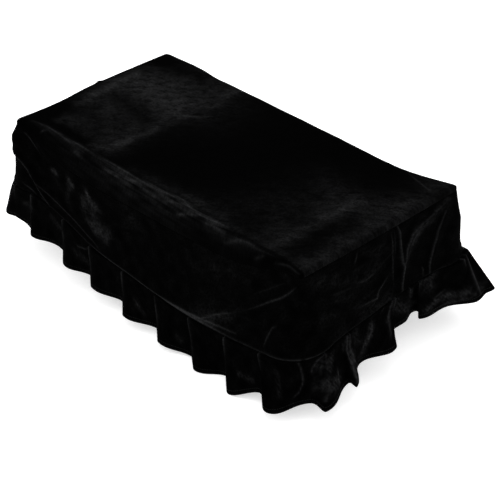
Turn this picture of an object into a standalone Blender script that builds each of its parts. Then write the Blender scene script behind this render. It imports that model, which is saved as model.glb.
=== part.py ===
"""Fitted velvet cover for a long padded stool: top panel, side band and pleated flounce.

Metres, +Z up. The origin is the middle of the face that lies on the stool's seat.
X runs along the long side, and -Y is the long side over which the slack of the top hangs.
"""

import math
from collections import namedtuple

import bmesh
import bpy
import numpy as np

# Cut sizes of the cloth
PANEL_LENGTH = 0.750
PANEL_WIDTH = 0.380
BAND_HEIGHT = 0.140
CLOTH = 0.002
SEAM_GAP = 0.0009
EDGE_TURN = 0.004

# Plan of the cover
HALF_X = PANEL_LENGTH / 2
HALF_Y = PANEL_WIDTH / 2
TOP_CORNER = 0.016
FOOT_CORNER = 0.055
FOOT_LEAN = 0.12
TURN = 0.060
PERIMETER = 2 * (PANEL_LENGTH + PANEL_WIDTH)

# Top panel: how far in from each edge it starts to roll over, and how deep in its drawn edges pull it
FRONT_ROLL = 0.026
BACK_ROLL = 0.020
END_ROLL = 0.011
DRAW_REACH = 0.150

# Seam between panel and band: how far it lies out from the cut outline, and how far it drops
Hang = namedtuple("Hang", "along out drop")
FRONT_SEAM = [
    Hang(-0.375, 0.000, 0.007),
    Hang(-0.335, -0.004, 0.016),
    Hang(-0.270, -0.002, 0.038),
    Hang(-0.180, 0.002, 0.046),
    Hang(0.000, 0.003, 0.047),
    Hang(0.170, 0.002, 0.046),
    Hang(0.260, -0.003, 0.036),
    Hang(0.335, -0.005, 0.014),
    Hang(0.375, 0.000, 0.007),
]
BACK_SEAM = [
    Hang(-0.375, 0.000, 0.007),
    Hang(-0.250, -0.009, 0.009),
    Hang(0.000, -0.012, 0.011),
    Hang(0.270, -0.012, 0.011),
    Hang(0.330, -0.004, 0.008),
    Hang(0.375, 0.000, 0.007),
]
RIGHT_SEAM = [
    Hang(-0.190, 0.000, 0.007),
    Hang(0.000, 0.001, 0.009),
    Hang(0.190, 0.000, 0.007),
]
LEFT_SEAM = [
    Hang(-0.190, 0.000, 0.007),
    Hang(-0.020, 0.006, 0.010),
    Hang(0.190, 0.000, 0.007),
]

# Seam between band and flounce: the same, by side
Foot = namedtuple("Foot", "side along out drop")
BAND_FOOT = [
    Foot("front", -0.375, 0.022, 0.132),
    Foot("front", -0.300, 0.016, 0.132),
    Foot("front", -0.210, 0.020, 0.149),
    Foot("front", -0.140, 0.023, 0.168),
    Foot("front", -0.050, 0.025, 0.178),
    Foot("front", 0.040, 0.025, 0.187),
    Foot("front", 0.130, 0.025, 0.192),
    Foot("front", 0.215, 0.023, 0.190),
    Foot("front", 0.300, 0.020, 0.183),
    Foot("front", 0.375, 0.026, 0.168),
    Foot("right", -0.130, 0.016, 0.158),
    Foot("right", -0.040, 0.014, 0.149),
    Foot("right", 0.060, 0.012, 0.141),
    Foot("right", 0.130, 0.015, 0.137),
    Foot("back", 0.375, 0.034, 0.140),
    Foot("back", 0.200, 0.012, 0.146),
    Foot("back", -0.200, 0.012, 0.146),
    Foot("back", -0.375, 0.018, 0.142),
    Foot("left", 0.090, 0.016, 0.144),
    Foot("left", -0.090, 0.018, 0.138),
]

# Hem of the flounce: each row is one pleat, its hollow, then its crest, and the height of the cloth there
Pleat = namedtuple("Pleat", "side hollow hollow_out crest crest_out height")
PLEATS = [
    Pleat("front", -0.400, 0.026, -0.372, 0.024, 0.073),
    Pleat("front", -0.331, 0.018, -0.304, 0.038, 0.073),
    Pleat("front", -0.252, 0.012, -0.208, 0.044, 0.073),
    Pleat("front", -0.152, 0.021, -0.120, 0.043, 0.071),
    Pleat("front", -0.056, 0.027, -0.020, 0.054, 0.071),
    Pleat("front", 0.044, 0.030, 0.073, 0.055, 0.073),
    Pleat("front", 0.140, 0.034, 0.172, 0.057, 0.077),
    Pleat("front", 0.222, 0.027, 0.258, 0.058, 0.079),
    Pleat("front", 0.308, 0.027, 0.364, 0.066, 0.085),
    Pleat("right", -0.218, 0.018, -0.196, 0.061, 0.087),
    Pleat("right", -0.150, 0.028, -0.122, 0.054, 0.083),
    Pleat("right", -0.066, 0.020, -0.006, 0.042, 0.080),
    Pleat("right", 0.052, -0.003, 0.100, 0.024, 0.078),
    Pleat("right", 0.140, 0.038, 0.190, 0.064, 0.079),
    Pleat("right", 0.212, 0.060, 0.234, 0.052, 0.080),
    Pleat("back", 0.372, 0.020, 0.330, 0.046, 0.076),
    Pleat("back", 0.286, 0.014, 0.244, 0.047, 0.076),
    Pleat("back", 0.198, 0.012, 0.160, 0.042, 0.076),
    Pleat("back", 0.112, 0.014, 0.070, 0.048, 0.076),
    Pleat("back", 0.026, 0.012, -0.018, 0.044, 0.076),
    Pleat("back", -0.064, 0.014, -0.102, 0.042, 0.076),
    Pleat("back", -0.146, 0.012, -0.190, 0.047, 0.076),
    Pleat("back", -0.236, 0.014, -0.276, 0.043, 0.076),
    Pleat("back", -0.318, 0.014, -0.362, 0.052, 0.076),
    Pleat("left", 0.150, 0.018, 0.112, 0.044, 0.076),
    Pleat("left", 0.068, 0.014, 0.028, 0.046, 0.076),
    Pleat("left", -0.020, 0.016, -0.060, 0.044, 0.076),
    Pleat("left", -0.112, 0.018, -0.190, 0.050, 0.076),
]

# Shape of the pleats: fullness of their curves at the hem, how they fan out of the corners, and how they fall
ROUNDNESS = 1.15
CORNER_FAN = 0.060
FAN_REACH = 0.054
LEAVE = 0.35
ARRIVE = 0.85
LEAST_FALL = 0.5

# Folds in the band: a ridge from one point to another, each given along its side and down from the seam
Fold = namedtuple("Fold", "side along_a down_a along_b down_b height width")
FOLDS = [
    Fold("left", -0.180, 0.26, 0.100, 0.18, 0.019, 0.030),
    Fold("front", -0.372, 0.66, -0.285, 0.92, 0.010, 0.020),
    Fold("front", 0.030, 0.93, 0.235, 0.93, 0.007, 0.016),
    Fold("right", 0.060, 0.02, 0.048, 0.95, 0.008, 0.016),
    Fold("right", 0.170, 0.05, 0.062, 0.60, 0.009, 0.018),
    Fold("right", 0.172, 0.12, 0.128, 0.95, 0.006, 0.014),
]

# How finely each sheet is divided; a narrow first and last row keep both sides of a seam on one slope
PANEL_CELLS_X = 34
PANEL_CELLS_Y = 14
END_ROLL_CELLS = 3
FRONT_ROLL_CELLS = 4
BACK_ROLL_CELLS = 3
BAND_ROWS = np.concatenate([[0.0, 0.03], np.linspace(0.14, 0.86, 6), [0.97, 1.0]])
FLOUNCE_ROWS = np.concatenate([[0.0, 0.04], np.linspace(0.2, 1.0, 4)])
FLOUNCE_CELLS = 4

VELVET = (0.006, 0.006, 0.007, 1.0)


def hermite(t, a, b, slope_a, slope_b):
    """Cubic from a to b with the given end slopes, for t from 0 to 1."""
    return (
        (2 * t**3 - 3 * t**2 + 1) * a
        + (t**3 - 2 * t**2 + t) * slope_a
        + (3 * t**2 - 2 * t**3) * b
        + (t**3 - t**2) * slope_b
    )


def smooth_line(knots, values, at, period=None):
    """Smooth curve through the values at the knots, read at these positions; it closes if it has a period."""
    knots = np.asarray(knots, float)
    values = np.asarray(values, float)
    at = np.asarray(at, float)
    if period:
        at = knots[0] + np.mod(at - knots[0], period)
        knots = np.concatenate([[knots[-1] - period], knots, knots[:2] + period])
        values = np.concatenate([values[-1:], values, values[:2]])
    steps = np.diff(knots)
    rises = np.diff(values) / steps
    slopes = np.concatenate([rises[:1], (rises[1:] + rises[:-1]) / 2, rises[-1:]])
    flat = np.concatenate([[False], rises[1:] * rises[:-1] <= 0, [False]])
    slopes[flat] = 0.0
    index = np.clip(np.searchsorted(knots, at, side="right") - 1, 0, len(steps) - 1)
    step = steps[index]
    t = np.clip((at - knots[index]) / step, 0.0, 1.0)
    return hermite(t, values[index], values[index + 1], slopes[index] * step, slopes[index + 1] * step)


def ease(t):
    """0 to 1 with no slope at either end."""
    t = np.clip(t, 0.0, 1.0)
    return t * t * (3 - 2 * t)


def around(side, along):
    """Distance round the cut outline, from the front left corner towards +X, of a point on one side."""
    return {
        "front": along + HALF_X,
        "right": PANEL_LENGTH + along + HALF_Y,
        "back": PANEL_LENGTH + PANEL_WIDTH + HALF_X - along,
        "left": PERIMETER - HALF_Y - along,
    }[side]


def outline(distance):
    """Point on the cut outline, and the outward normal, which turns within TURN of each corner."""
    distance = np.mod(np.asarray(distance, float), PERIMETER)
    ends = np.cumsum([0.0, PANEL_LENGTH, PANEL_WIDTH, PANEL_LENGTH, PANEL_WIDTH])
    side = np.clip(np.searchsorted(ends, distance, side="right") - 1, 0, 3)
    step = distance - ends[side]
    length = np.diff(ends)[side]
    x = np.choose(side, [step - HALF_X, HALF_X + 0 * step, HALF_X - step, -HALF_X + 0 * step])
    y = np.choose(side, [-HALF_Y + 0 * step, step - HALF_Y, HALF_Y + 0 * step, HALF_Y - step])
    turn = (1 - ease(step / TURN)) * -0.5 + (1 - ease((length - step) / TURN)) * 0.5
    angle = (side - 1 + turn) * math.pi / 2
    return x, y, np.cos(angle), np.sin(angle)


def rounded(x, y, radius):
    """The point moved in, near a corner of the outline, so that the corner has that radius."""
    p = np.clip((np.abs(x) - (HALF_X - radius)) / radius, 0.0, 1.0)
    q = np.clip((np.abs(y) - (HALF_Y - radius)) / radius, 0.0, 1.0)
    pull_x = radius * p * (1 - np.sqrt(1 - q * q / 2))
    pull_y = radius * q * (1 - np.sqrt(1 - p * p / 2))
    return x - np.sign(x) * pull_x, y - np.sign(y) * pull_y


def read(rows, column, at):
    """Smooth curve through one column of a table of hangs."""
    return smooth_line([row.along for row in rows], [getattr(row, column) for row in rows], at)


def rolled(inside, roll):
    """Share of a roll's drop at a distance inside the edge: a quarter of an ellipse."""
    t = np.clip(1 - inside / roll, 0.0, 1.0)
    return 1 - np.sqrt(np.maximum(1 - t * t, 0.0))


def panel_point(x, y):
    """Outer face of the top panel at a point of the flat cut, which may lie on its outline."""
    front, back = HALF_Y + y, HALF_Y - y
    left, right = HALF_X + x, HALF_X - x
    drop = np.cbrt(
        (read(FRONT_SEAM, "drop", x) * rolled(front, FRONT_ROLL)) ** 3
        + (read(BACK_SEAM, "drop", x) * rolled(back, BACK_ROLL)) ** 3
        + (read(LEFT_SEAM, "drop", y) * rolled(left, END_ROLL)) ** 3
        + (read(RIGHT_SEAM, "drop", y) * rolled(right, END_ROLL)) ** 3
    )
    px, py = rounded(x, y, TOP_CORNER)
    py = py - read(FRONT_SEAM, "out", x) * (1 - ease(front / DRAW_REACH))
    py = py + read(BACK_SEAM, "out", x) * (1 - ease(back / DRAW_REACH))
    px = px - read(LEFT_SEAM, "out", y) * (1 - ease(left / DRAW_REACH))
    px = px + read(RIGHT_SEAM, "out", y) * (1 - ease(right / DRAW_REACH))
    return np.stack([px, py, CLOTH - drop], axis=-1)


def foot_value(column, distance):
    """Smooth curve round the cover through one column of BAND_FOOT."""
    rows = sorted(BAND_FOOT, key=lambda row: around(row.side, row.along))
    knots = [around(row.side, row.along) for row in rows]
    return smooth_line(knots, [getattr(row, column) for row in rows], distance, PERIMETER)


def fold_height(distance, down):
    """How far the folds lift the band outwards: a soft ridge along each line, tapering at its ends."""
    lift = np.zeros(np.broadcast(distance, down).shape)
    for fold in FOLDS:
        a = np.array([around(fold.side, fold.along_a), fold.down_a * BAND_HEIGHT])
        b = np.array([around(fold.side, fold.along_b), fold.down_b * BAND_HEIGHT])
        run = b - a
        gap = np.mod(distance - a[0] + PERIMETER / 2, PERIMETER) - PERIMETER / 2
        fall = down * BAND_HEIGHT - a[1]
        share = np.clip((gap * run[0] + fall * run[1]) / (run @ run), 0.0, 1.0)
        away = np.hypot(gap - share * run[0], fall - share * run[1])
        lift = lift + fold.height * np.exp(-((away / fold.width) ** 2))
    return lift


def band_point(distance, down):
    """Outer face of the side band, from the seam with the panel, down 0, to the seam with the flounce, down 1.

    It leaves the panel straight down, swings out, and ends on the slope that the flounce carries on.
    """
    x, y, nx, ny = outline(distance)
    top = panel_point(x, y)
    top[..., 2] -= EDGE_TURN + SEAM_GAP
    foot_x, foot_y = rounded(x, y, FOOT_CORNER)
    out = foot_value("out", distance)
    foot = np.stack([foot_x + nx * out, foot_y + ny * out, CLOTH - foot_value("drop", distance)], axis=-1)
    height = top[..., 2:] - foot[..., 2:]
    leave = height * [0.0, 0.0, -1.0]
    arrive = foot_slope(nx, ny) * height
    point = hermite(down, top, foot, leave, arrive)
    lift = fold_height(distance, down) * np.sqrt(np.sin(math.pi * down))
    point[..., 0] += nx * lift
    point[..., 1] += ny * lift
    return point


def foot_slope(nx, ny):
    """Way the cloth runs at the seam between band and flounce: down, and a little out."""
    return np.stack([nx * FOOT_LEAN, ny * FOOT_LEAN, -np.ones_like(nx)], axis=-1)


def on_side(side, along, out):
    """Plan point given by a side, a distance along it and a distance out from it."""
    return {
        "front": (along, -HALF_Y - out),
        "right": (HALF_X + out, along),
        "back": (along, HALF_Y + out),
        "left": (-HALF_X - out, along),
    }[side]


def pleat_knots():
    """Hollow and crest of each pleat in turn: plan point at the hem, place at the seam, and height."""
    knots = []
    for pleat in PLEATS:
        for along, out in ((pleat.hollow, pleat.hollow_out), (pleat.crest, pleat.crest_out)):
            place = around(pleat.side, fanned(pleat.side, along))
            knots.append((on_side(pleat.side, along, out), place, pleat.height))
    return knots


def fanned(side, along):
    """Place on the seam above a point of the hem: level with it, but drawn in near the ends of the side."""
    half = HALF_X if side in ("front", "back") else HALF_Y
    past = max(abs(along) - (half - CORNER_FAN), 0.0)
    return math.copysign(min(abs(along), half - CORNER_FAN) + FAN_REACH * math.tanh(past / FAN_REACH), along)


def flounce_ring(cells):
    """Round the flounce: plan points of the hem, the distance along the seam of each, and its height."""
    knots = pleat_knots()
    hem = np.array([plan for plan, _, _ in knots])
    seam = np.array([place for _, place, _ in knots])
    height = np.array([height for _, _, height in knots])
    ahead, behind = np.roll(hem, -1, axis=0), np.roll(hem, 1, axis=0)
    tangent = ahead - behind
    tangent /= np.linalg.norm(tangent, axis=1, keepdims=True)
    chord = np.linalg.norm(ahead - hem, axis=1, keepdims=True) * ROUNDNESS
    step = np.mod(np.roll(seam, -1) - seam, PERIMETER)
    t = np.arange(cells) / cells
    plan = hermite(
        t[None, :, None],
        hem[:, None],
        ahead[:, None],
        (tangent * chord)[:, None],
        (np.roll(tangent, -1, axis=0) * chord)[:, None],
    )
    place = seam[:, None] + step[:, None] * t
    height = height[:, None] + (np.roll(height, -1) - height)[:, None] * t
    return plan.reshape(-1, 2), place.ravel(), height.ravel()


def seam_line(place):
    """Lower edge of the band at these distances, read along the straight lines between the band's columns."""
    columns = band_columns()
    edge = band_point(columns, 1.0)
    columns = np.append(columns, columns[0] + PERIMETER)
    edge = np.concatenate([edge, edge[:1]])
    at = columns[0] + np.mod(place - columns[0], PERIMETER)
    return np.stack([np.interp(at, columns, edge[:, axis]) for axis in range(3)], axis=-1)


def flounce_point(plan, place, height, down):
    """Outer face of the flounce, from its seam, down 0, to its hem, down 1; what flares out doesn't fall."""
    _, _, nx, ny = outline(place)
    top = seam_line(place)
    top[:, 2] -= SEAM_GAP
    flare = plan - top[:, :2]
    fall = np.sqrt(np.maximum(height**2 - (flare**2).sum(-1), (height * LEAST_FALL) ** 2))
    hem = np.column_stack([plan, top[:, 2] - fall])
    leave = foot_slope(nx, ny) * height[:, None] * LEAVE
    arrive = (hem - top) * ARRIVE
    return hermite(down, top, hem, leave, arrive)


def cloth_object(name, mesh, collection):
    """One sheet of cloth: the outer face, given its thickness inwards."""
    obj = bpy.data.objects.new(name, mesh)
    collection.objects.link(obj)
    mesh.materials.append(velvet(name))
    mesh.shade_smooth()
    thickness = obj.modifiers.new("cloth thickness", "SOLIDIFY")
    thickness.thickness = CLOTH
    thickness.offset = -1.0


def ring_mesh(name, sections):
    """Loft through closed sections, each an array of points in order round the cover, from the top down."""
    rows, columns = sections.shape[:2]
    faces = []
    for row in range(rows - 1):
        for column in range(columns):
            after = (column + 1) % columns
            faces.append(
                (
                    row * columns + column,
                    (row + 1) * columns + column,
                    (row + 1) * columns + after,
                    row * columns + after,
                )
            )
    mesh = bpy.data.meshes.new(name)
    mesh.from_pydata(sections.reshape(-1, 3).tolist(), [], faces)
    mesh.update()
    return mesh


def grid_lines(half, near_roll, near_cells, far_roll, far_cells, flat_cells):
    """Places of the panel's grid lines in one direction, closer together where it rolls over the edges."""
    near = -half + near_roll * (1 - np.sin(np.linspace(0, math.pi / 2, near_cells + 1)))[::-1]
    far = half - far_roll * (1 - np.sin(np.linspace(0, math.pi / 2, far_cells + 1)))
    return np.concatenate([near, np.linspace(near[-1], far[0], flat_cells + 1)[1:-1], far])


def lines_x():
    return grid_lines(HALF_X, END_ROLL, END_ROLL_CELLS, END_ROLL, END_ROLL_CELLS, PANEL_CELLS_X)


def lines_y():
    return grid_lines(HALF_Y, FRONT_ROLL, FRONT_ROLL_CELLS, BACK_ROLL, BACK_ROLL_CELLS, PANEL_CELLS_Y)


def band_columns():
    """Distances round the outline of the band's columns, which stand under the panel's grid lines."""
    sides = [("front", lines_x()), ("right", lines_y()), ("back", lines_x()[::-1]), ("left", lines_y()[::-1])]
    return np.concatenate([around(side, lines)[:-1] for side, lines in sides])


def top_panel(collection):
    """The panel that lies on the seat: a grid, bent over the edges and turned down at its rim."""
    cut_x, cut_y = lines_x(), lines_y()
    grid = bmesh.new()
    bmesh.ops.create_grid(grid, x_segments=len(cut_x) - 1, y_segments=len(cut_y) - 1, size=1.0)
    for vertex in grid.verts:
        x = np.interp(vertex.co.x, np.linspace(-1, 1, len(cut_x)), cut_x)
        y = np.interp(vertex.co.y, np.linspace(-1, 1, len(cut_y)), cut_y)
        vertex.co = panel_point(x, y)
    rim = bmesh.ops.extrude_edge_only(grid, edges=[edge for edge in grid.edges if edge.is_boundary])
    turned = [item for item in rim["geom"] if isinstance(item, bmesh.types.BMVert)]
    bmesh.ops.translate(grid, verts=turned, vec=(0.0, 0.0, -EDGE_TURN))
    mesh = bpy.data.meshes.new("top_panel")
    grid.to_mesh(mesh)
    grid.free()
    cloth_object("top_panel", mesh, collection)


def side_band(collection):
    """The band round the seat, one strip joined into a ring."""
    sections = np.array([band_point(band_columns(), down) for down in BAND_ROWS])
    cloth_object("side_band", ring_mesh("side_band", sections), collection)


def flounce(collection):
    """The pleated strip under the band, hem included, joined into a ring."""
    plan, place, height = flounce_ring(FLOUNCE_CELLS)
    sections = np.array([flounce_point(plan, place, height, down) for down in FLOUNCE_ROWS])
    cloth_object("flounce", ring_mesh("flounce", sections), collection)


def velvet(name):
    """Black velvet, one for each piece."""
    material = bpy.data.materials.new(f"{name} velvet")
    material.use_nodes = True
    shader = material.node_tree.nodes["Principled BSDF"]
    shader.inputs["Base Color"].default_value = VELVET
    shader.inputs["Roughness"].default_value = 0.9
    shader.inputs["Metallic"].default_value = 0.0
    return material


def main():
    for old in list(bpy.data.objects):
        bpy.data.objects.remove(old)
    collection = bpy.data.collections.new("stool_cover")
    bpy.context.scene.collection.children.link(collection)
    top_panel(collection)
    side_band(collection)
    flounce(collection)


main()
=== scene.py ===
"""Looks of a fitted black velvet cover for a long padded stool.

Three sheets of cloth, each a surface worked out over its cut: the top panel, the side band round the seat, and
the pleated flounce with its turned and stitched hem. Metres, +Z up. The origin is the middle of the face that
lies on the seat, X runs along the long side, and -Y is the side over which the slack of the top hangs.
"""

import math
from collections import namedtuple

import bpy
import numpy as np
from mathutils import Matrix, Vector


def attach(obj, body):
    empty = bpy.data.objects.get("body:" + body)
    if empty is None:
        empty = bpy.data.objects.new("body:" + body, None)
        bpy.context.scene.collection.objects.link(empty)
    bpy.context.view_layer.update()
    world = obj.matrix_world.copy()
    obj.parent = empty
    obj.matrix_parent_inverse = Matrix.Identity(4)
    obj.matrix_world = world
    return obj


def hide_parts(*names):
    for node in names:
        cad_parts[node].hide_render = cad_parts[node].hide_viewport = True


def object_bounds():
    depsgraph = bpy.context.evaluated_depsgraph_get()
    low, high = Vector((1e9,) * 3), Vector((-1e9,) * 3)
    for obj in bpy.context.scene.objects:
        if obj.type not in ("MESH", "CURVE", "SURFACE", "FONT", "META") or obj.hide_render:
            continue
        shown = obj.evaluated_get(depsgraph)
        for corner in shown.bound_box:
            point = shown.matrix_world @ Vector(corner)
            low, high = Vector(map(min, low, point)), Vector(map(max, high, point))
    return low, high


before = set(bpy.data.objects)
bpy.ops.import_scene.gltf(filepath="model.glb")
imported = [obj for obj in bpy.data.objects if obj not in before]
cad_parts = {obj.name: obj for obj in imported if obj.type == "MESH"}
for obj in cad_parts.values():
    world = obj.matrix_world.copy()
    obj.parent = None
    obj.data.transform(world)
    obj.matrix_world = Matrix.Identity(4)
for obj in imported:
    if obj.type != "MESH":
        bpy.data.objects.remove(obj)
cad_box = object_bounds()

# Cut sizes of the cloth, and the height of the panel's upper face
PANEL_LENGTH = 0.750
PANEL_WIDTH = 0.380
BAND_HEIGHT = 0.140
FLOUNCE_HEIGHT = 0.080
TOP = 0.002
HALF_X = PANEL_LENGTH / 2
HALF_Y = PANEL_WIDTH / 2
PERIMETER = 2 * (PANEL_LENGTH + PANEL_WIDTH)

# Thickness of the velvet with its pile, and of the thinner single layer at the hem
VELVET_THICK = 0.0013
HEM_LAYER = 0.0008

# Plan of the cover: radius of the panel's corners and of the lower seam's, lean of the cloth at that seam, and
# how near a corner the outward direction begins to turn
TOP_CORNER = 0.012
FOOT_CORNER = 0.055
FOOT_LEAN = 0.12
TURN = 0.060

# Roll of the panel over each edge: squareness, where 2 is an ellipse and 1 a straight slope from a sharp ridge,
# then width, and how far in the panel follows its seams, which draw it in or let it out
FRONT_SQUARE = 1.45
SIDE_SQUARE = 2.0
FRONT_ROLL = 0.026
BACK_ROLL = 0.020
END_ROLL = 0.011
DRAW_REACH = 0.150

# Seams: how far down from the panel's edge the first lies, how deep both draw the cloth in, and their rounding
RIM = 0.0044
SEAM_DEPTH = 0.0009
SEAM_ROUND = 0.0018

# Seam allowance of the lower cloth, which stands up behind the upper: how far in, and how high
LAP_IN = 0.0016
LAP_RISE = 0.0034

# Where creases and waves die out: distance from the panel's edge, shares of the band at its upper and lower
# seam, and share of the flounce
PANEL_FADE = 0.003
UPPER_FADE = 0.05
LOWER_FADE = 0.04
WAVE_FADE = 0.15

# Turned hem of the flounce: radius of the turn, how far the cloth goes back up inside, and the rows of each
HEM_TURN = 0.0009
HEM_DEPTH = 0.0085
TURN_ROWS = 6
INSIDE_ROWS = 4

# Running stitches of the hem: their line above it with the groove that they draw in, and their own sizes
STITCH_LINE = 0.0070
STITCH_GROOVE = 0.0005
GROOVE_WIDTH = 0.0010
STITCH_PITCH = 0.0040
STITCH_LONG = 0.0030
STITCH_WIDE = 0.0006

# A stitch's sides, the places of its rings from end to end, how far it narrows at the ends, and in widths how
# proud its middle stands and how far its ends sink
STITCH_SIDES = 6
STITCH_RINGS = (-1.0, -0.88, -0.55, 0.55, 0.88, 1.0)
STITCH_TAPER = 0.93
STITCH_PROUD = 0.35
STITCH_SINK = 0.75

# Pleats: fullness at the hem, how they fall, how proud their crests stand just under the seam, the point
# between hollow and crest where that is nought, the share down where it starts to fade, and over what share
ROUNDNESS = 1.15
LEAVE = 0.30
ARRIVE = 0.85
GATHER = 0.0055
GATHER_MIDDLE = 0.15
GATHER_FROM = 0.10
GATHER_FADE = 0.60

# Roll of the band just above the lower seam: height, distance from the seam, and width
FOOT_ROLL = 0.0020
FOOT_ROLL_RISE = 0.006
FOOT_ROLL_WIDTH = 0.0045

# Swags of the band's right end: their middle, reach to each side, sag, height, and the painted highlight on their
# crests above a threshold
SWAG_MIDDLE = -0.060
SWAG_REACH = 0.120
SWAG_SAG = 0.035
SWAG_HEIGHT = 0.0006
SWAG_SHINE = 0.22
SWAG_SHADE = 0.3

# Long strands of pile over the front roll: how many of its widths they cover, over what distance they end,
# their height, and how streaky they make the painted highlight there
STRAND_REACH = 1.2
STRAND_END = 0.008
STRAND_HEIGHT = 0.0002
STRAND_CONTRAST = 0.9
STRAND_LEAST = 0.15

# Painted highlight, a bright line in the base colour where the pile opens along a crease: its width, its
# strength for each root of the crease's height, and the share of it on the panel. The sheets hold its
# brightness as a root, whose power the material takes, so a line stays thin between their points
SHINE_WIDTH = 0.0009
SHINE = 24.0
PANEL_SHINE = 0.7
SHARPEN = 5

# Painted sheen of pile brushed evenly over the band and the flounce, and slant and least of the flounce's
# streaks of painted sheen
EVEN_NAP_SHEEN = 0.04
STREAK_SLANT = 0.5
STREAK_LEAST = 0.2

# Uneven waves: height, length, seed of their draws, and how many times as long they are along as down. Each is
# a mean of SINES sine waves, whose lengths are drawn between these shares of its own
Wave = namedtuple("Wave", "height length seed stretch")
SINES = 10
SINE_LENGTHS = (0.7, 1.6)
# The clouds and streaks vary the painted sheen of the brushed pile, FLOUNCE_CRESTS the painted highlight on the
# pleats' crests, and STRANDS both the roll's cloth and its painted highlight
PANEL_WAVES = [Wave(0.0005, 0.11, 3, 1), Wave(0.00016, 0.03, 4, 1)]
PANEL_WARP = [Wave(0.006, 0.05, 5, 1), Wave(0.006, 0.05, 6, 1)]
STRANDS = [Wave(0.6, 0.0024, 7, 22), Wave(0.4, 0.0055, 8, 12)]
BAND_WAVES = [Wave(0.0009, 0.09, 11, 1), Wave(0.0002, 0.028, 12, 1)]
BAND_WARP = [Wave(0.003, 0.03, 13, 1), Wave(0.003, 0.03, 14, 1)]
BAND_SWAGS = Wave(1, 0.012, 15, 7)
BAND_CLOUDS = Wave(0.04, 0.03, 16, 1)
FLOUNCE_WAVES = Wave(0.0006, 0.05, 21, 1)
FLOUNCE_WARP = Wave(0.004, 0.03, 23, 1)
FLOUNCE_CRESTS = Wave(0.5, 0.06, 24, 1)
FLOUNCE_CLOUDS = Wave(0.04, 0.03, 25, 1)
FLOUNCE_STREAKS = Wave(0.9, 0.016, 27, 0.16)

# Seam between panel and band: distance out from the cut outline, drop, and width of the roll above it
Hang = namedtuple("Hang", "along out drop roll")
FRONT_SEAM = [
    Hang(-0.375, 0.000, 0.007, 0.014),
    Hang(-0.335, -0.004, 0.016, 0.022),
    Hang(-0.270, -0.002, 0.038, 0.026),
    Hang(-0.180, 0.002, 0.046, 0.026),
    Hang(0.000, 0.003, 0.047, 0.026),
    Hang(0.130, 0.002, 0.046, 0.025),
    Hang(0.230, -0.001, 0.040, 0.015),
    Hang(0.335, -0.005, 0.014, 0.011),
    Hang(0.375, 0.000, 0.007, 0.010),
]
BACK_SEAM = [
    Hang(-0.375, 0.000, 0.007, BACK_ROLL),
    Hang(-0.330, 0.001, 0.008, BACK_ROLL),
    Hang(-0.275, 0.001, 0.009, BACK_ROLL),
    Hang(-0.210, -0.006, 0.010, BACK_ROLL),
    Hang(-0.160, -0.006, 0.010, BACK_ROLL),
    Hang(-0.060, -0.009, 0.011, BACK_ROLL),
    Hang(0.050, -0.012, 0.011, BACK_ROLL),
    Hang(0.160, -0.016, 0.011, BACK_ROLL),
    Hang(0.250, -0.019, 0.011, BACK_ROLL),
    Hang(0.310, -0.013, 0.009, BACK_ROLL),
    Hang(0.345, -0.005, 0.008, BACK_ROLL),
    Hang(0.375, 0.002, 0.007, BACK_ROLL),
]
RIGHT_SEAM = [
    Hang(-0.190, 0.000, 0.007, END_ROLL),
    Hang(0.000, 0.001, 0.009, END_ROLL),
    Hang(0.190, 0.002, 0.007, END_ROLL),
]
LEFT_SEAM = [
    Hang(-0.190, 0.000, 0.007, END_ROLL),
    Hang(-0.110, -0.004, 0.009, END_ROLL),
    Hang(-0.020, 0.003, 0.010, END_ROLL),
    Hang(0.080, 0.004, 0.010, END_ROLL),
    Hang(0.190, 0.000, 0.007, END_ROLL),
]

# Seam between band and flounce: its distance out from the cut outline and its drop, by side
Foot = namedtuple("Foot", "side along out drop")
BAND_FOOT = [
    Foot("front", -0.375, 0.034, 0.130),
    Foot("front", -0.300, 0.016, 0.132),
    Foot("front", -0.210, 0.020, 0.149),
    Foot("front", -0.140, 0.023, 0.168),
    Foot("front", -0.050, 0.025, 0.178),
    Foot("front", 0.040, 0.025, 0.187),
    Foot("front", 0.130, 0.025, 0.192),
    Foot("front", 0.215, 0.023, 0.190),
    Foot("front", 0.300, 0.020, 0.183),
    Foot("front", 0.375, 0.026, 0.168),
    Foot("right", -0.130, 0.016, 0.158),
    Foot("right", -0.040, 0.014, 0.149),
    Foot("right", 0.060, 0.012, 0.141),
    Foot("right", 0.130, 0.018, 0.137),
    Foot("back", 0.375, 0.034, 0.140),
    Foot("back", 0.200, 0.012, 0.146),
    Foot("back", -0.200, 0.012, 0.146),
    Foot("back", -0.375, 0.018, 0.142),
    Foot("left", 0.090, 0.016, 0.144),
    Foot("left", -0.090, 0.023, 0.138),
]

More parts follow.
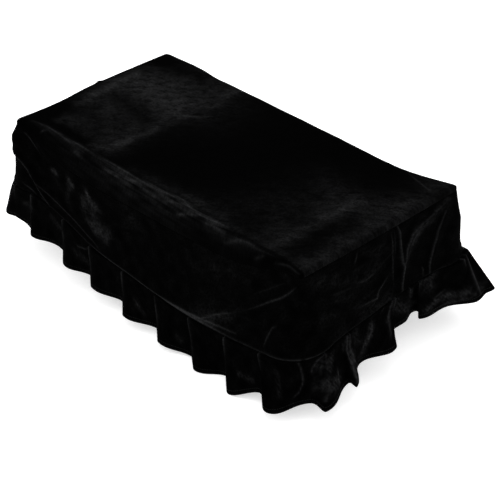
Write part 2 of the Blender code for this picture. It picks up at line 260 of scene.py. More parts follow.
# Pleats of the flounce: place of the hollow and of the crest along their side, each with its distance out at
# the hem and its place on the seam, and how far the hem lies below the seam
Pleat = namedtuple("Pleat", "side hollow hollow_out hollow_seam crest crest_out crest_seam fall")
PLEATS = [
    Pleat("front", -0.400, 0.026, -0.364, -0.372, 0.024, -0.357, 0.072),
    Pleat("front", -0.336, 0.020, -0.322, -0.304, 0.037, -0.318, 0.082),
    Pleat("front", -0.252, 0.012, -0.229, -0.201, 0.043, -0.224, 0.083),
    Pleat("front", -0.152, 0.021, -0.149, -0.124, 0.044, -0.145, 0.073),
    Pleat("front", -0.056, 0.027, -0.055, -0.021, 0.054, -0.051, 0.071),
    Pleat("front", 0.044, 0.030, 0.034, 0.073, 0.055, 0.038, 0.071),
    Pleat("front", 0.140, 0.034, 0.121, 0.169, 0.057, 0.125, 0.075),
    Pleat("front", 0.222, 0.027, 0.209, 0.255, 0.059, 0.213, 0.080),
    Pleat("front", 0.308, 0.036, 0.290, 0.357, 0.064, 0.294, 0.067),
    Pleat("right", -0.194, 0.022, -0.168, -0.191, 0.058, -0.157, 0.079),
    Pleat("right", -0.120, 0.037, -0.113, -0.118, 0.055, -0.098, 0.079),
    Pleat("right", -0.074, 0.021, -0.080, -0.013, 0.046, 0.020, 0.074),
    Pleat("right", 0.021, 0.008, 0.027, 0.058, 0.005, 0.055, 0.077),
    Pleat("right", 0.091, -0.002, 0.073, 0.079, 0.019, 0.077, 0.076),
    Pleat("right", 0.134, 0.032, 0.124, 0.181, 0.057, 0.172, 0.074),
    Pleat("right", 0.206, 0.056, 0.186, 0.230, 0.054, 0.196, 0.069),
    Pleat("back", 0.372, 0.020, 0.356, 0.330, 0.046, 0.350, 0.070),
    Pleat("back", 0.286, 0.014, 0.291, 0.244, 0.047, 0.286, 0.069),
    Pleat("back", 0.198, 0.012, 0.204, 0.160, 0.042, 0.198, 0.070),
    Pleat("back", 0.112, 0.014, 0.117, 0.070, 0.048, 0.112, 0.069),
    Pleat("back", 0.026, 0.012, 0.032, -0.018, 0.044, 0.026, 0.070),
    Pleat("back", -0.064, 0.014, -0.059, -0.102, 0.042, -0.064, 0.070),
    Pleat("back", -0.146, 0.012, -0.140, -0.190, 0.047, -0.146, 0.069),
    Pleat("back", -0.236, 0.014, -0.231, -0.276, 0.043, -0.236, 0.070),
    Pleat("back", -0.318, 0.014, -0.312, -0.362, 0.052, -0.318, 0.069),
    Pleat("left", 0.150, 0.018, 0.154, 0.112, 0.044, 0.149, 0.069),
    Pleat("left", 0.068, 0.014, 0.074, 0.028, 0.046, 0.068, 0.069),
    Pleat("left", -0.020, 0.016, -0.014, -0.060, 0.044, -0.020, 0.070),
    Pleat("left", -0.120, 0.016, -0.118, -0.185, 0.042, -0.150, 0.071),
]

# A crease, fold, or stroke of brushed pile's painted sheen or of painted highlight: width of each flank, share
# of it on the steep flank, radius of its crest, and its line, as points (along, down, height). On the band and
# the flounce, down is a share of the sheet's height. On the panel, whose side is called "top", a point is (x, y,
# height)
Line = namedtuple("Line", "side width steep crest points")

# Creases of the panel, heights in metres: the ridge over the front edge, those under it, and the others
PANEL_CREASES = [
    Line("top", 0.005, 0.4, 0.001, [
        (-0.352, -0.176, 0), (-0.316, -0.17, 0.0008), (-0.298, -0.169, 0.0014), (-0.26, -0.168, 0.0016),
        (-0.253, -0.169, 0.0008), (-0.247, -0.169, 0.0014), (-0.22, -0.168, 0.0018),
        (-0.204, -0.167, 0.0014), (-0.183, -0.167, 0.0006), (-0.14, -0.167, 0.0006),
        (-0.12, -0.168, 0.0016), (-0.082, -0.168, 0.0016), (-0.066, -0.168, 0.0008),
        (-0.044, -0.169, 0.0012), (0, -0.168, 0.0012)
    ]),
    Line("top", 0.005, 0.4, 0.001, [
        (-0.02, -0.17, 0), (0.04, -0.168, 0.0012), (0.071, -0.165, 0.0012), (0.093, -0.169, 0.0014),
        (0.124, -0.172, 0.0016), (0.143, -0.173, 0.002), (0.168, -0.172, 0.0012), (0.212, -0.175, 0)
    ]),
    Line("top", 0.003, 0.8, 0.0012, [(-0.313, -0.182, 0), (-0.306, -0.178, 0.002), (-0.298, -0.173, 0)]),
    Line("top", 0.003, 0.6, 0.0008, [(-0.213, -0.177, 0), (-0.203, -0.176, 0.0014), (-0.193, -0.175, 0)]),
    Line("top", 0.003, 0.6, 0.0008, [
        (-0.126, -0.177, 0), (-0.108, -0.176, 0.0018), (-0.086, -0.174, 0.0012), (-0.077, -0.172, 0)
    ]),
    Line("top", 0.003, 0.6, 0.0008, [
        (-0.084, -0.176, 0), (-0.06, -0.175, 0.001), (-0.042, -0.173, 0.001), (-0.034, -0.17, 0)
    ]),
    Line("top", 0.003, 0.6, 0.0008, [(0.002, -0.178, 0), (0.014, -0.177, 0.0014), (0.027, -0.175, 0)]),
    Line("top", 0.003, 0.6, 0.0008, [
        (0.028, -0.178, 0), (0.05, -0.174, 0.001), (0.073, -0.171, 0.0012), (0.094, -0.168, 0)
    ]),
    Line("top", 0.003, 0.5, 0.0008, [
        (0.07, -0.182, 0), (0.082, -0.18, 0.0018), (0.099, -0.177, 0.0018), (0.122, -0.173, 0.001),
        (0.136, -0.172, 0)
    ]),
    Line("top", 0.003, 0.6, 0.0008, [
        (0.152, -0.175, 0), (0.165, -0.178, 0.0012), (0.18, -0.178, 0.001), (0.19, -0.176, 0)
    ]),
    Line("top", 0.004, 0.5, 0.0009, [
        (0.19, -0.186, 0), (0.206, -0.184, 0.001), (0.221, -0.181, 0.0016), (0.247, -0.18, 0.0014),
        (0.263, -0.182, 0.0008), (0.322, -0.183, 0)
    ]),
    Line("top", 0.002, 1, 0.0006, [(0.262, -0.189, 0), (0.276, -0.187, 0.0016), (0.289, -0.185, 0)]),
    Line("top", 0.002, 1, 0.0006, [
        (0.306, -0.188, 0), (0.325, -0.187, 0.0006), (0.342, -0.186, 0.001), (0.37, -0.188, 0.0003)
    ]),
    Line("top", 0.003, 1, 0.003, [(-0.367, 0.002, 0), (-0.368, 0.012, 0.003), (-0.367, 0.022, 0)]),
    Line("top", 0.003, 1, 0.001, [(-0.102, -0.181, 0), (-0.09, -0.177, -0.0014), (-0.066, -0.17, 0)]),
    Line("top", 0.006, 0.3, 0.001, [
        (0.285, 0.176, 0), (0.318, 0.158, 0.0016), (0.344, 0.144, 0.002), (0.357, 0.14, 0.001),
        (0.366, 0.15, 0)
    ]),
    Line("top", 0.005, 0.5, 0.0012, [
        (-0.186, -0.006, 0), (-0.165, 0.016, 0.0006), (-0.14, 0.038, 0.0008), (-0.113, 0.056, 0)
    ]),
    Line("top", 0.004, 0.5, 0.0012, [(-0.156, -0.036, 0), (-0.142, -0.014, 0.0004), (-0.13, 0.006, 0)]),
]

# Broad folds of the panel, heights in metres
PANEL_FOLDS = [
    Line("top", 0.01, 1, 0.005, [(0.352, 0.148, 0), (0.358, 0.164, 0.0018), (0.366, 0.18, 0)]),
    Line("top", 0.016, 0.6, 0.008, [
        (0.278, -0.16, 0), (0.286, -0.1, 0.0016), (0.288, -0.02, 0.0018), (0.292, 0.024, 0.0014),
        (0.33, 0.05, 0.0008), (0.36, 0.08, 0)
    ]),
    Line("top", 0.03, 1, 0.015, [
        (-0.36, 0.12, 0), (-0.25, 0.06, 0.0014), (-0.13, 0.09, 0.001), (-0.02, 0.15, 0)
    ]),
    Line("top", 0.026, 1, 0.015, [(-0.34, -0.12, 0), (-0.23, -0.06, 0.0012), (-0.14, -0.1, 0)]),
]

# Broad folds of the band, heights in metres
BAND_FOLDS = [
    Line("left", 0.022, 1, 0.012, [(-0.185, 0.2, 0.014), (-0.02, 0.2, 0.015), (0.1, 0.18, 0.014)]),
    Line("front", 0.026, 0.15, 0.004, [
        (-0.374, 0.42, 0.003), (-0.336, 0.5, 0.008), (-0.304, 0.67, 0.011), (-0.276, 0.88, 0.008)
    ]),
    Line("front", 0.012, 1, 0.007, [(0.02, 0.93, 0.003), (0.12, 0.94, 0.007), (0.24, 0.92, 0.004)]),
    Line("right", 0.012, 0.3, 0.003, [(0.04, 0.1, 0.002), (0.038, 0.5, 0.007), (0.037, 0.95, 0.005)]),
    Line("right", 0.016, 0.3, 0.004, [
        (0.165, 0.05, 0.004), (0.105, 0.17, 0.007), (0.066, 0.3, 0.007), (0.044, 0.52, 0.004)
    ]),
    Line("right", 0.012, 0.4, 0.003, [(0.16, 0.12, 0.003), (0.124, 0.52, 0.006), (0.106, 0.95, 0.004)]),
    Line("right", 0.022, 1, 0.01, [(0.19, 0.12, 0.002), (0.19, 0.42, 0.005), (0.19, 0.8, 0)]),
    Line("right", 0.014, 0.7, 0.006, [
        (-0.15, 0.18, 0), (-0.11, 0.27, 0.0025), (-0.055, 0.46, 0.0035), (-0.02, 0.46, 0)
    ]),
    Line("right", 0.012, 0.7, 0.005, [
        (-0.155, 0.62, 0), (-0.07, 0.76, 0.003), (-0.028, 0.8, 0.004), (0.01, 0.62, 0)
    ]),
    Line("back", 0.03, 0.8, 0.012, [(0.27, 0.1, 0), (0.25, 0.6, 0.004), (0.262, 0.95, 0.003)]),
    Line("back", 0.034, 0.7, 0.012, [(0.02, 0.15, 0), (0.05, 0.65, 0.004), (0.04, 0.95, 0.002)]),
    Line("back", 0.028, 0.8, 0.012, [(-0.24, 0.08, 0.001), (-0.22, 0.5, 0.004), (-0.18, 0.9, 0.001)]),
    Line("left", 0.022, 0.8, 0.01, [(0.09, 0.3, 0), (0.06, 0.7, 0.004), (0.07, 0.96, 0.002)]),
]

# Crisp creases of the band, heights in metres
BAND_CREASES = [
    Line("front", 0.003, 0.4, 0.0008, [
        (-0.378, 0.4, 0.0006), (-0.358, 0.46, 0.002), (-0.338, 0.5, 0.003), (-0.322, 0.57, 0.004),
        (-0.308, 0.68, 0.0036), (-0.29, 0.8, 0.0036), (-0.268, 0.92, 0.0024), (-0.258, 0.98, 0.0006)
    ]),
    Line("front", 0.003, 0.5, 0.0008, [
        (-0.305, 0.71, 0.0006), (-0.262, 0.76, 0.0014), (-0.228, 0.79, 0.0014), (-0.175, 0.84, 0.001),
        (-0.138, 0.88, 0.0008), (-0.108, 0.95, 0)
    ]),
    Line("front", 0.004, 0.6, 0.001, [(-0.352, 0.02, 0), (-0.33, 0.05, 0.002), (-0.3, 0.18, 0)]),
    Line("front", 0.003, 0.6, 0.0008, [(-0.342, 0.86, 0), (-0.32, 0.9, 0.0022), (-0.3, 0.97, 0)]),
    Line("front", 0.006, 0.5, 0.0012, [
        (0.15, 0.93, 0.0004), (0.168, 0.87, 0.0018), (0.19, 0.77, 0.0022), (0.212, 0.7, 0.0012),
        (0.236, 0.63, 0)
    ]),
    Line("front", 0.003, 0.5, 0.0007, [
        (0.232, 0.64, 0), (0.272, 0.5, 0.0002), (0.302, 0.39, 0.002), (0.33, 0.3, 0.0026),
        (0.35, 0.2, 0.0018), (0.368, 0.11, 0)
    ]),
    Line("front", 0.004, 0.7, 0.001, [(0.262, 0.36, 0), (0.3, 0.24, 0.0002), (0.345, 0.09, 0)]),
    Line("front", 0.003, 0.7, 0.0008, [
        (0.302, 0.93, 0), (0.309, 0.8, 0.0016), (0.319, 0.66, 0.001), (0.331, 0.6, 0)
    ]),
    Line("right", 0.003, 0.4, 0.0007, [
        (0.035, 0, 0.0006), (0.039, 0.1, 0.0026), (0.037, 0.36, 0.0028), (0.036, 0.52, 0.0022),
        (0.04, 0.62, 0.0026), (0.038, 0.78, 0.003), (0.035, 0.96, 0.0016)
    ]),
    Line("right", 0.003, 0.8, 0.0007, [
        (0.02, 0.02, 0), (0.023, 0.2, 0.0006), (0.02, 0.58, 0.0006), (0.018, 0.88, 0)
    ]),
    Line("right", 0.003, 0.8, 0.0007, [(0.028, 0.04, 0), (0.029, 0.2, 0.0003), (0.026, 0.52, 0)]),
    Line("right", 0.005, 0.4, 0.001, [
        (0.172, 0.03, 0), (0.128, 0.11, 0.0004), (0.09, 0.18, 0.001), (0.066, 0.25, 0.0022),
        (0.051, 0.38, 0.0026), (0.044, 0.5, 0.0022), (0.04, 0.62, 0.001), (0.039, 0.74, 0)
    ]),
    Line("right", 0.003, 0.5, 0.0007, [
        (0.158, 0.11, 0), (0.142, 0.26, 0.0008), (0.127, 0.42, 0.002), (0.117, 0.57, 0.0018),
        (0.106, 0.8, 0.002), (0.103, 0.97, 0.0008)
    ]),
    Line("right", 0.002, 0.8, 0.0006, [(-0.06, 0.03, 0), (-0.065, 0.12, 0.0014), (-0.069, 0.21, 0)]),
    Line("right", 0.004, 0.5, 0.001, [
        (-0.08, 0.77, 0), (-0.045, 0.79, 0.0014), (-0.028, 0.8, 0.0022), (-0.022, 0.74, 0.002),
        (-0.01, 0.69, 0.0016), (0.014, 0.61, 0)
    ]),
    Line("right", 0.005, 0.5, 0.0012, [(-0.075, 0.42, 0), (-0.05, 0.48, 0.001), (-0.02, 0.47, 0)]),
    Line("right", 0.004, 0.6, 0.001, [(0.088, 0.8, 0), (0.091, 0.88, 0.001), (0.088, 0.97, 0)]),
    Line("right", 0.003, 0.8, 0.0008, [(0.186, 0.1, 0), (0.19, 0.4, 0.0003), (0.191, 0.9, 0)]),
    Line("back", 0.007, 0.5, 0.0015, [(0.352, 0.04, 0), (0.3, 0.3, 0.0024), (0.25, 0.5, 0)]),
    Line("back", 0.006, 0.5, 0.0015, [(-0.35, 0.05, 0), (-0.3, 0.28, 0.0022), (-0.26, 0.6, 0)]),
    Line("left", 0.006, 0.5, 0.0015, [(0.17, 0.06, 0), (0.13, 0.3, 0.0024), (0.1, 0.6, 0)]),
]

# Creases of the flounce, heights in metres
FLOUNCE_CREASES = [
    Line("front", 0.004, 1, 0.0008, [
        (-0.187, 0.4, 0), (-0.18, 0.42, 0.0014), (-0.16, 0.34, 0.0012), (-0.147, 0.2, 0)
    ]),
    Line("front", 0.005, 0.5, 0.001, [
        (0.368, 0.04, 0.0008), (0.371, 0.16, 0.0018), (0.376, 0.42, 0.0026), (0.378, 0.54, 0.0026),
        (0.37, 0.72, 0.0018), (0.354, 0.82, 0)
    ]),
    Line("right", 0.005, 0.5, 0.001, [
        (-0.159, 0.03, 0.0008), (-0.17, 0.2, 0.0026), (-0.175, 0.36, 0.0022), (-0.171, 0.48, 0)
    ]),
    Line("right", 0.004, 0.6, 0.001, [(-0.133, 0.48, 0), (-0.132, 0.6, 0.0014), (-0.131, 0.82, 0.0006)]),
    Line("right", 0.004, 0.6, 0.001, [(-0.152, 0.58, 0), (-0.158, 0.82, 0.001)]),
    Line("right", 0.005, 0.6, 0.001, [
        (-0.103, 0.05, 0.0008), (-0.105, 0.26, 0.0022), (-0.107, 0.39, 0.0026), (-0.101, 0.6, 0.0026),
        (-0.097, 0.92, 0.0016)
    ]),
    Line("right", 0.003, 0.6, 0.0008, [
        (-0.099, 0.08, 0), (-0.101, 0.34, 0.0012), (-0.096, 0.62, 0.0012)
    ]),
    Line("right", 0.005, 0.6, 0.001, [
        (-0.042, 0.06, 0), (-0.043, 0.4, 0.0022), (-0.05, 0.54, 0.0022), (-0.067, 0.66, 0.001),
        (-0.074, 0.78, 0)
    ]),
    Line("right", 0.006, 0.6, 0.0012, [
        (0.012, 0.01, 0.0006), (0.004, 0.14, 0.0018), (0, 0.34, 0.0028), (0.003, 0.52, 0.0026),
        (0.012, 0.74, 0)
    ]),
    Line("right", 0.004, 0.8, 0.001, [(-0.008, 0.01, 0), (-0.014, 0.08, 0.001), (-0.022, 0.2, 0)]),
    Line("right", 0.004, 0.8, 0.001, [(0.1, 0.68, 0), (0.116, 0.63, 0.0014), (0.132, 0.58, 0)]),
    Line("right", 0.004, 0.8, 0.001, [(0.084, 0.9, 0), (0.092, 0.8, 0.0014), (0.104, 0.74, 0)]),
    Line("right", 0.005, 0.6, 0.001, [
        (0.183, 0.02, 0.001), (0.18, 0.18, 0.0026), (0.178, 0.5, 0.003), (0.179, 0.9, 0.0016)
    ]),
]

# Broad folds of the flounce, heights in metres
FLOUNCE_FOLDS = [
    Line("right", 0.014, 1, 0.01, [
        (0.016, 0.1, 0), (0.018, 0.45, -0.009), (0.018, 0.75, -0.005), (0.019, 0.95, 0)
    ]),
    Line("right", 0.028, 1, 0.02, [
        (0.196, 0.05, 0), (0.196, 0.3, 0.008), (0.198, 0.55, 0.008), (0.2, 0.9, 0)
    ]),
    Line("left", 0.02, 1, 0.015, [(-0.17, 0.1, 0), (-0.17, 0.5, 0.005), (-0.17, 0.9, 0.002)]),
]

# Painted sheen on the panel, as strokes: lighter base colour where the pile is brushed towards the light; the
# last number of a point is the strength, and below nought the pile there stands away from it, which takes
# painted sheen away
PANEL_NAP_SHEEN = [
    Line("top", 0.12, 0.1, 0.03, [(-0.165, 0.16, 0.3), (-0.165, 0.05, 0.36), (-0.16, -0.13, 0.36)]),
    Line("top", 0.03, 1, 0.03, [(-0.3, 0.085, 0.3), (-0.255, 0.1, 0.38), (-0.215, 0.09, 0.2)]),
    Line("top", 0.022, 1, 0.025, [
        (-0.33, 0.06, 0.3), (-0.28, 0.045, 0.42), (-0.235, 0.035, 0.46), (-0.19, 0.045, 0.34)
    ]),
    Line("top", 0.008, 1, 0.008, [(-0.342, 0.08, 0.35), (-0.337, 0.02, 0.7), (-0.334, -0.055, 0.55)]),
    Line("top", 0.006, 1, 0.006, [
        (-0.15, 0.18, 0.55), (-0.148, 0.15, 0.5), (-0.141, 0.12, 0.25), (-0.134, 0.08, 0.2)
    ]),
    Line("top", 0.005, 1, 0.006, [
        (-0.185, 0.004, 0.05), (-0.16, 0.022, 0.2), (-0.135, 0.042, 0.28), (-0.112, 0.056, 0.3)
    ]),
    Line("top", 0.014, 1, 0.014, [(-0.315, -0.03, 0.2), (-0.275, -0.045, 0.26), (-0.24, -0.055, 0.1)]),
    Line("top", 0.008, 0.3, 0.01, [
        (-0.15, -0.035, 0.25), (-0.146, -0.075, 0.42), (-0.15, -0.112, 0.5), (-0.16, -0.138, 0.25)
    ]),
    Line("top", 0.01, 1, 0.012, [(-0.312, -0.135, 0.22), (-0.28, -0.124, 0.32)]),
    Line("top", 0.03, 1, 0.03, [(-0.1, 0.12, 0.1), (-0.085, 0.05, 0.08)]),
    Line("top", 0.016, 1, 0.014, [(-0.35, 0.15, -0.22), (-0.305, 0.145, -0.16), (-0.24, 0.16, -0.24)]),
    Line("top", 0.012, 1, 0.016, [
        (-0.29, -0.004, -0.18), (-0.235, -0.01, -0.25), (-0.19, -0.022, -0.28), (-0.165, -0.028, -0.1)
    ]),
    Line("top", 0.014, 1, 0.01, [
        (-0.345, -0.095, -0.2), (-0.335, -0.16, -0.3), (-0.27, -0.16, -0.3), (-0.205, -0.16, -0.35)
    ]),
    Line("top", 0.007, 1, 0.008, [
        (0.291, 0.05, 0.18), (0.291, 0.02, 0.5), (0.29, -0.03, 0.55), (0.286, -0.062, 0.38),
        (0.288, -0.1, 0.45), (0.286, -0.14, 0.55), (0.284, -0.162, 0.25)
    ]),
    Line("top", 0.022, 1, 0.024, [(0.3, 0.008, 0.26), (0.33, 0.03, 0.3), (0.354, 0.075, 0.3)]),
    Line("top", 0.01, 1, 0.01, [
        (0.36, 0.13, 0.22), (0.355, 0.06, 0.26), (0.357, -0.02, 0.36), (0.358, -0.1, 0.38),
        (0.361, -0.17, 0.34)
    ]),
    Line("top", 0.004, 1, 0.006, [
        (0.369, -0.186, 0.2), (0.37, -0.1, 0.2), (0.37, 0, 0.16), (0.371, 0.15, 0.05)
    ]),
    Line("top", 0.012, 1, 0.012, [(0.24, -0.17, 0.14), (0.3, -0.176, 0.2), (0.352, -0.178, 0.22)]),
    Line("top", 0.02, 1, 0.02, [
        (0.185, 0.05, 0.1), (0.225, 0.034, 0.22), (0.26, 0.015, 0.26), (0.262, -0.035, 0.2)
    ]),
    Line("top", 0.016, 1, 0.018, [(0.24, -0.105, 0.16), (0.26, -0.132, 0.3)]),
    Line("top", 0.03, 1, 0.03, [(0.15, -0.13, 0.12), (0.195, -0.055, 0.14)]),
    Line("top", 0.008, 1, 0.006, [
        (-0.07, -0.16, 0.1), (0.02, -0.158, 0.3), (0.09, -0.156, 0.46), (0.13, -0.16, 0.34),
        (0.21, -0.168, 0.15)
    ]),
    Line("top", 0.012, 1, 0.01, [(0.306, 0.176, 0.1), (0.346, 0.166, 0.3), (0.366, 0.174, 0.25)]),
]

# The same over the front roll, where the strokes run along it; there they paint the highlight along the roll's
# ridge and are added to the creases' painted highlight
ROLL_HIGHLIGHTS = [
    Line("top", 0.003, 0.6, 0.003, [
        (-0.345, -0.175, 0.1), (-0.3, -0.17, 0.3), (-0.262, -0.17, 0.3), (-0.24, -0.17, 0.4),
        (-0.198, -0.169, 0.38), (-0.18, -0.169, 0.2), (-0.13, -0.169, 0.24), (-0.11, -0.169, 0.4),
        (-0.082, -0.169, 0.36), (-0.05, -0.17, 0.4), (0, -0.169, 0.48), (0.04, -0.167, 0.5),
        (0.08, -0.165, 0.38), (0.12, -0.166, 0.1)
    ]),
    Line("top", 0.003, 0.8, 0.003, [
        (-0.07, -0.174, 0.2), (0, -0.174, 0.36), (0.04, -0.174, 0.38), (0.085, -0.172, 0.42),
        (0.124, -0.171, 0.46), (0.145, -0.171, 0.46), (0.19, -0.172, 0.3), (0.212, -0.174, 0.1)
    ]),
    Line("top", 0.0025, 0.8, 0.0025, [
        (0.192, -0.184, 0.18), (0.215, -0.182, 0.34), (0.248, -0.181, 0.3), (0.264, -0.182, 0.12)
    ]),
    Line("top", 0.002, 1, 0.008, [(0.145, -0.177, 0.34), (0.186, -0.179, 0.36)]),
    Line("top", 0.002, 1, 0.006, [(-0.128, -0.177, 0.16), (-0.105, -0.176, 0.24), (-0.05, -0.178, 0.22)]),
    Line("top", 0.002, 1, 0.004, [(-0.215, -0.177, 0.14), (-0.19, -0.176, 0.2)]),
    Line("top", 0.006, 1, 0.006, [
        (-0.32, -0.183, 0.02), (-0.23, -0.183, 0.07), (-0.14, -0.183, 0.15), (0.05, -0.184, 0.19),
        (0.13, -0.183, 0.08)
    ]),
]

# Painted sheen of brushed pile on the band, as the same strokes
BAND_NAP_SHEEN = [
    Line("front", 0.0012, 1, 0.012, [(-0.264, 0.25, 0.75), (-0.256, 0.27, 0.75)]),
    Line("front", 0.0015, 1, 0.03, [(-0.256, 0.36, 0.14), (-0.25, 0.44, 0.1)]),
    Line("front", 0.0012, 1, 0.02, [(-0.217, 0.17, 0.65), (-0.209, 0.27, 0.75)]),
    Line("front", 0.0012, 1, 0.03, [(-0.216, 0.36, 0.3), (-0.214, 0.56, 0.18)]),
    Line("front", 0.0012, 1, 0.018, [(-0.164, 0.21, 1), (-0.154, 0.3, 0.75), (-0.126, 0.35, 0.45)]),
    Line("front", 0.0012, 1, 0.03, [(-0.172, 0.33, 0.42), (-0.17, 0.48, 0.38)]),
    Line("front", 0.0014, 1, 0.06, [(-0.15, 0.42, 0.34), (-0.138, 0.54, 0.42), (-0.118, 0.6, 0.42)]),
    Line("front", 0.0014, 1, 0.03, [
        (-0.155, 0.62, 0.35), (-0.13, 0.69, 0.5), (-0.102, 0.71, 0.62), (-0.097, 0.6, 0.4)
    ]),
    Line("front", 0.01, 1, 0.01, [(-0.048, 0.08, 0.1), (-0.036, 0.24, 0.16)]),
    Line("front", 0.016, 1, 0.012, [(0.13, 0.28, 0.06), (0.175, 0.2, 0.1), (0.24, 0.12, 0.06)]),
    Line("front", 0.01, 1, 0.01, [(0.15, 0.9, 0.25), (0.19, 0.8, 0.3), (0.23, 0.68, 0.1)]),
    Line("right", 0.006, 1, 0.008, [
        (-0.175, 0.14, 0.05), (-0.13, 0.18, 0.2), (-0.1, 0.3, 0.08), (-0.06, 0.46, 0.12),
        (-0.025, 0.46, 0.14)
    ]),
    Line("right", 0.005, 1, 0.008, [(-0.022, 0.38, 0.08), (-0.012, 0.26, 0.2), (0.002, 0.12, 0.06)]),
    Line("right", 0.005, 1, 0.006, [(-0.155, 0.6, 0.12), (-0.1, 0.7, 0.04), (-0.04, 0.78, 0.12)]),
    Line("right", 0.005, 1, 0.006, [(-0.14, 0.42, 0.04), (-0.09, 0.56, 0.08), (-0.06, 0.58, 0.06)]),
    Line("right", 0.005, 1, 0.006, [(-0.13, 0.92, 0.12), (-0.08, 0.92, 0.06), (0, 0.93, 0.24)]),
    Line("right", 0.007, 0.3, 0.004, [
        (0.155, 0.04, 0.2), (0.125, 0.12, 0.3), (0.096, 0.19, 0.5), (0.074, 0.26, 0.7),
        (0.06, 0.38, 0.38), (0.05, 0.5, 0.2), (0.042, 0.62, 0.1)
    ]),
    Line("back", 0.03, 1, 0.02, [(-0.15, 0.3, 0.1), (0, 0.5, 0.3), (0.12, 0.4, 0.1)]),
    Line("left", 0.024, 1, 0.02, [(-0.08, 0.25, 0.15), (0.06, 0.4, 0.3)]),
]

# Painted highlights, bright lines along the band's lower seam, with their brightness as the last number of a
# point
BAND_EDGE_SHINE = [
    Line("front", 0.001, 1, 0.0005, [
        (-0.29, 0.96, 0.3), (-0.15, 0.965, 0.5), (-0.1, 0.975, 1), (0.04, 0.975, 1.2), (0.08, 0.96, 2),
        (0.13, 0.935, 2.4), (0.175, 0.905, 1.8), (0.24, 0.885, 0.4)
    ]),
    Line("front", 0.0014, 1, 0.0008, [
        (0.06, 0.985, 0.8), (0.11, 0.965, 2), (0.17, 0.95, 1.4), (0.22, 0.965, 0.5), (0.29, 0.98, 0.4),
        (0.372, 0.985, 0.7)
    ]),
    Line("right", 0.001, 1, 0.0005, [(-0.185, 0.985, 0.8), (-0.1, 0.985, 0.35), (0.02, 0.985, 0.15)]),
    Line("right", 0.001, 1, 0.0005, [(0.09, 0.985, 0.2), (0.185, 0.985, 0.4)]),
]

# Painted sheen of the flounce's brushed pile, as strokes
FLOUNCE_NAP_SHEEN = [
    Line("front", 0.0012, 1, 0.01, [(-0.334, 0.46, 0.25), (-0.322, 0.42, 0.32)]),
    Line("front", 0.0012, 1, 0.015, [(-0.262, 0.34, 0.25), (-0.242, 0.45, 0.32), (-0.226, 0.5, 0.2)]),
    Line("front", 0.0012, 1, 0.015, [(-0.192, 0.6, 0.3), (-0.158, 0.6, 0.25)]),
    Line("front", 0.0012, 1, 0.015, [(-0.018, 0.58, 0.3), (0.002, 0.7, 0.3)]),
    Line("front", 0.0012, 1, 0.012, [(0.082, 0.69, 0.25), (0.098, 0.74, 0.25)]),
    Line("front", 0.001, 1, 0.008, [(0.244, 0.7, 0.35), (0.274, 0.7, 0.4)]),
    Line("front", 0.001, 1, 0.008, [(0.334, 0.3, 0.12), (0.332, 0.56, 0.22), (0.33, 0.8, 0.24)]),
    Line("right", 0.0015, 1, 0.03, [(-0.161, 0.28, 0.4), (-0.152, 0.45, 0.36), (-0.146, 0.3, 0.28)]),
    Line("right", 0.0015, 1, 0.025, [(-0.158, 0.68, 0.6), (-0.148, 0.8, 0.7), (-0.134, 0.8, 0.65)]),
    Line("right", 0.0012, 1, 0.008, [
        (-0.104, 0.1, 0.45), (-0.105, 0.4, 0.55), (-0.1, 0.62, 0.6), (-0.097, 0.92, 0.4)
    ]),
    Line("right", 0.0015, 1, 0.025, [(-0.084, 0.25, 0.24), (-0.076, 0.5, 0.22)]),
    Line("right", 0.0012, 1, 0.012, [
        (-0.044, 0.28, 0.4), (-0.048, 0.48, 0.75), (-0.062, 0.62, 0.6), (-0.078, 0.8, 0.25)
    ]),
    Line("right", 0.0012, 1, 0.01, [
        (0.012, 0.05, 0.3), (0.002, 0.36, 0.55), (0.004, 0.55, 0.4), (0.012, 0.8, 0.2)
    ]),
    Line("right", 0.0015, 1, 0.025, [(0.022, 0.26, 0.28), (0.047, 0.55, 0.38), (0.062, 0.68, 0.38)]),
    Line("right", 0.0012, 1, 0.01, [(0.056, 0.1, 0.25), (0.06, 0.4, 0.3)]),
    Line("right", 0.0015, 1, 0.03, [(0.084, 0.1, 0.38), (0.106, 0.12, 0.42), (0.1, 0.34, 0.36)]),
    Line("right", 0.0012, 1, 0.012, [
        (0.086, 0.8, 0.45), (0.105, 0.7, 0.6), (0.13, 0.7, 0.6), (0.162, 0.76, 0.5)
    ]),
    Line("right", 0.001, 1, 0.004, [(0.1, 0.9, 0.3), (0.13, 0.86, 0.45), (0.17, 0.88, 0.45)]),
    Line("right", 0.0012, 1, 0.01, [(0.183, 0.82, 0.3), (0.188, 0.86, 0.3)]),
]

# Painted highlight, a bright line along the crests of the pleats: where down the flounce it has faded, as pairs
# of a distance round the cover and that share, its strength and width, and how even it is, with the least that is
# left of it
CREST_REACH = [(0.00, 0.50), (0.20, 1.05), (0.50, 0.95), (0.60, 0.60), (0.75, 0.40), (PERIMETER, 0.50)]
CREST_SHINE = 1.6
CREST_THIN = 0.028
CREST_EVEN = 0.8
CREST_LEAST = 0.1

# Painted highlight, a bright line along the hem: its strength and width
HEM_SHINE = 0.45
HEM_SHINE_WIDTH = 0.0012

# Velvet: colour of the standing pile, the pale colour of the painted sheen of brushed pile and of the creases'
# painted highlight, and the most that brushed pile and creases add up to
DEEP_PILE = (0.00018, 0.00018, 0.00018)
PAINTED_SHEEN_TONE = (0.0185, 0.0187, 0.0193)
FULL_PALE = 2.0

# Dark and pale tone of the sewing thread and of the weave on the velvet's back
THREAD_TONES = [(0.002, 0.002, 0.002), (0.012, 0.012, 0.012)]
WEAVE_TONES = [(0.003, 0.003, 0.003), (0.013, 0.013, 0.014)]

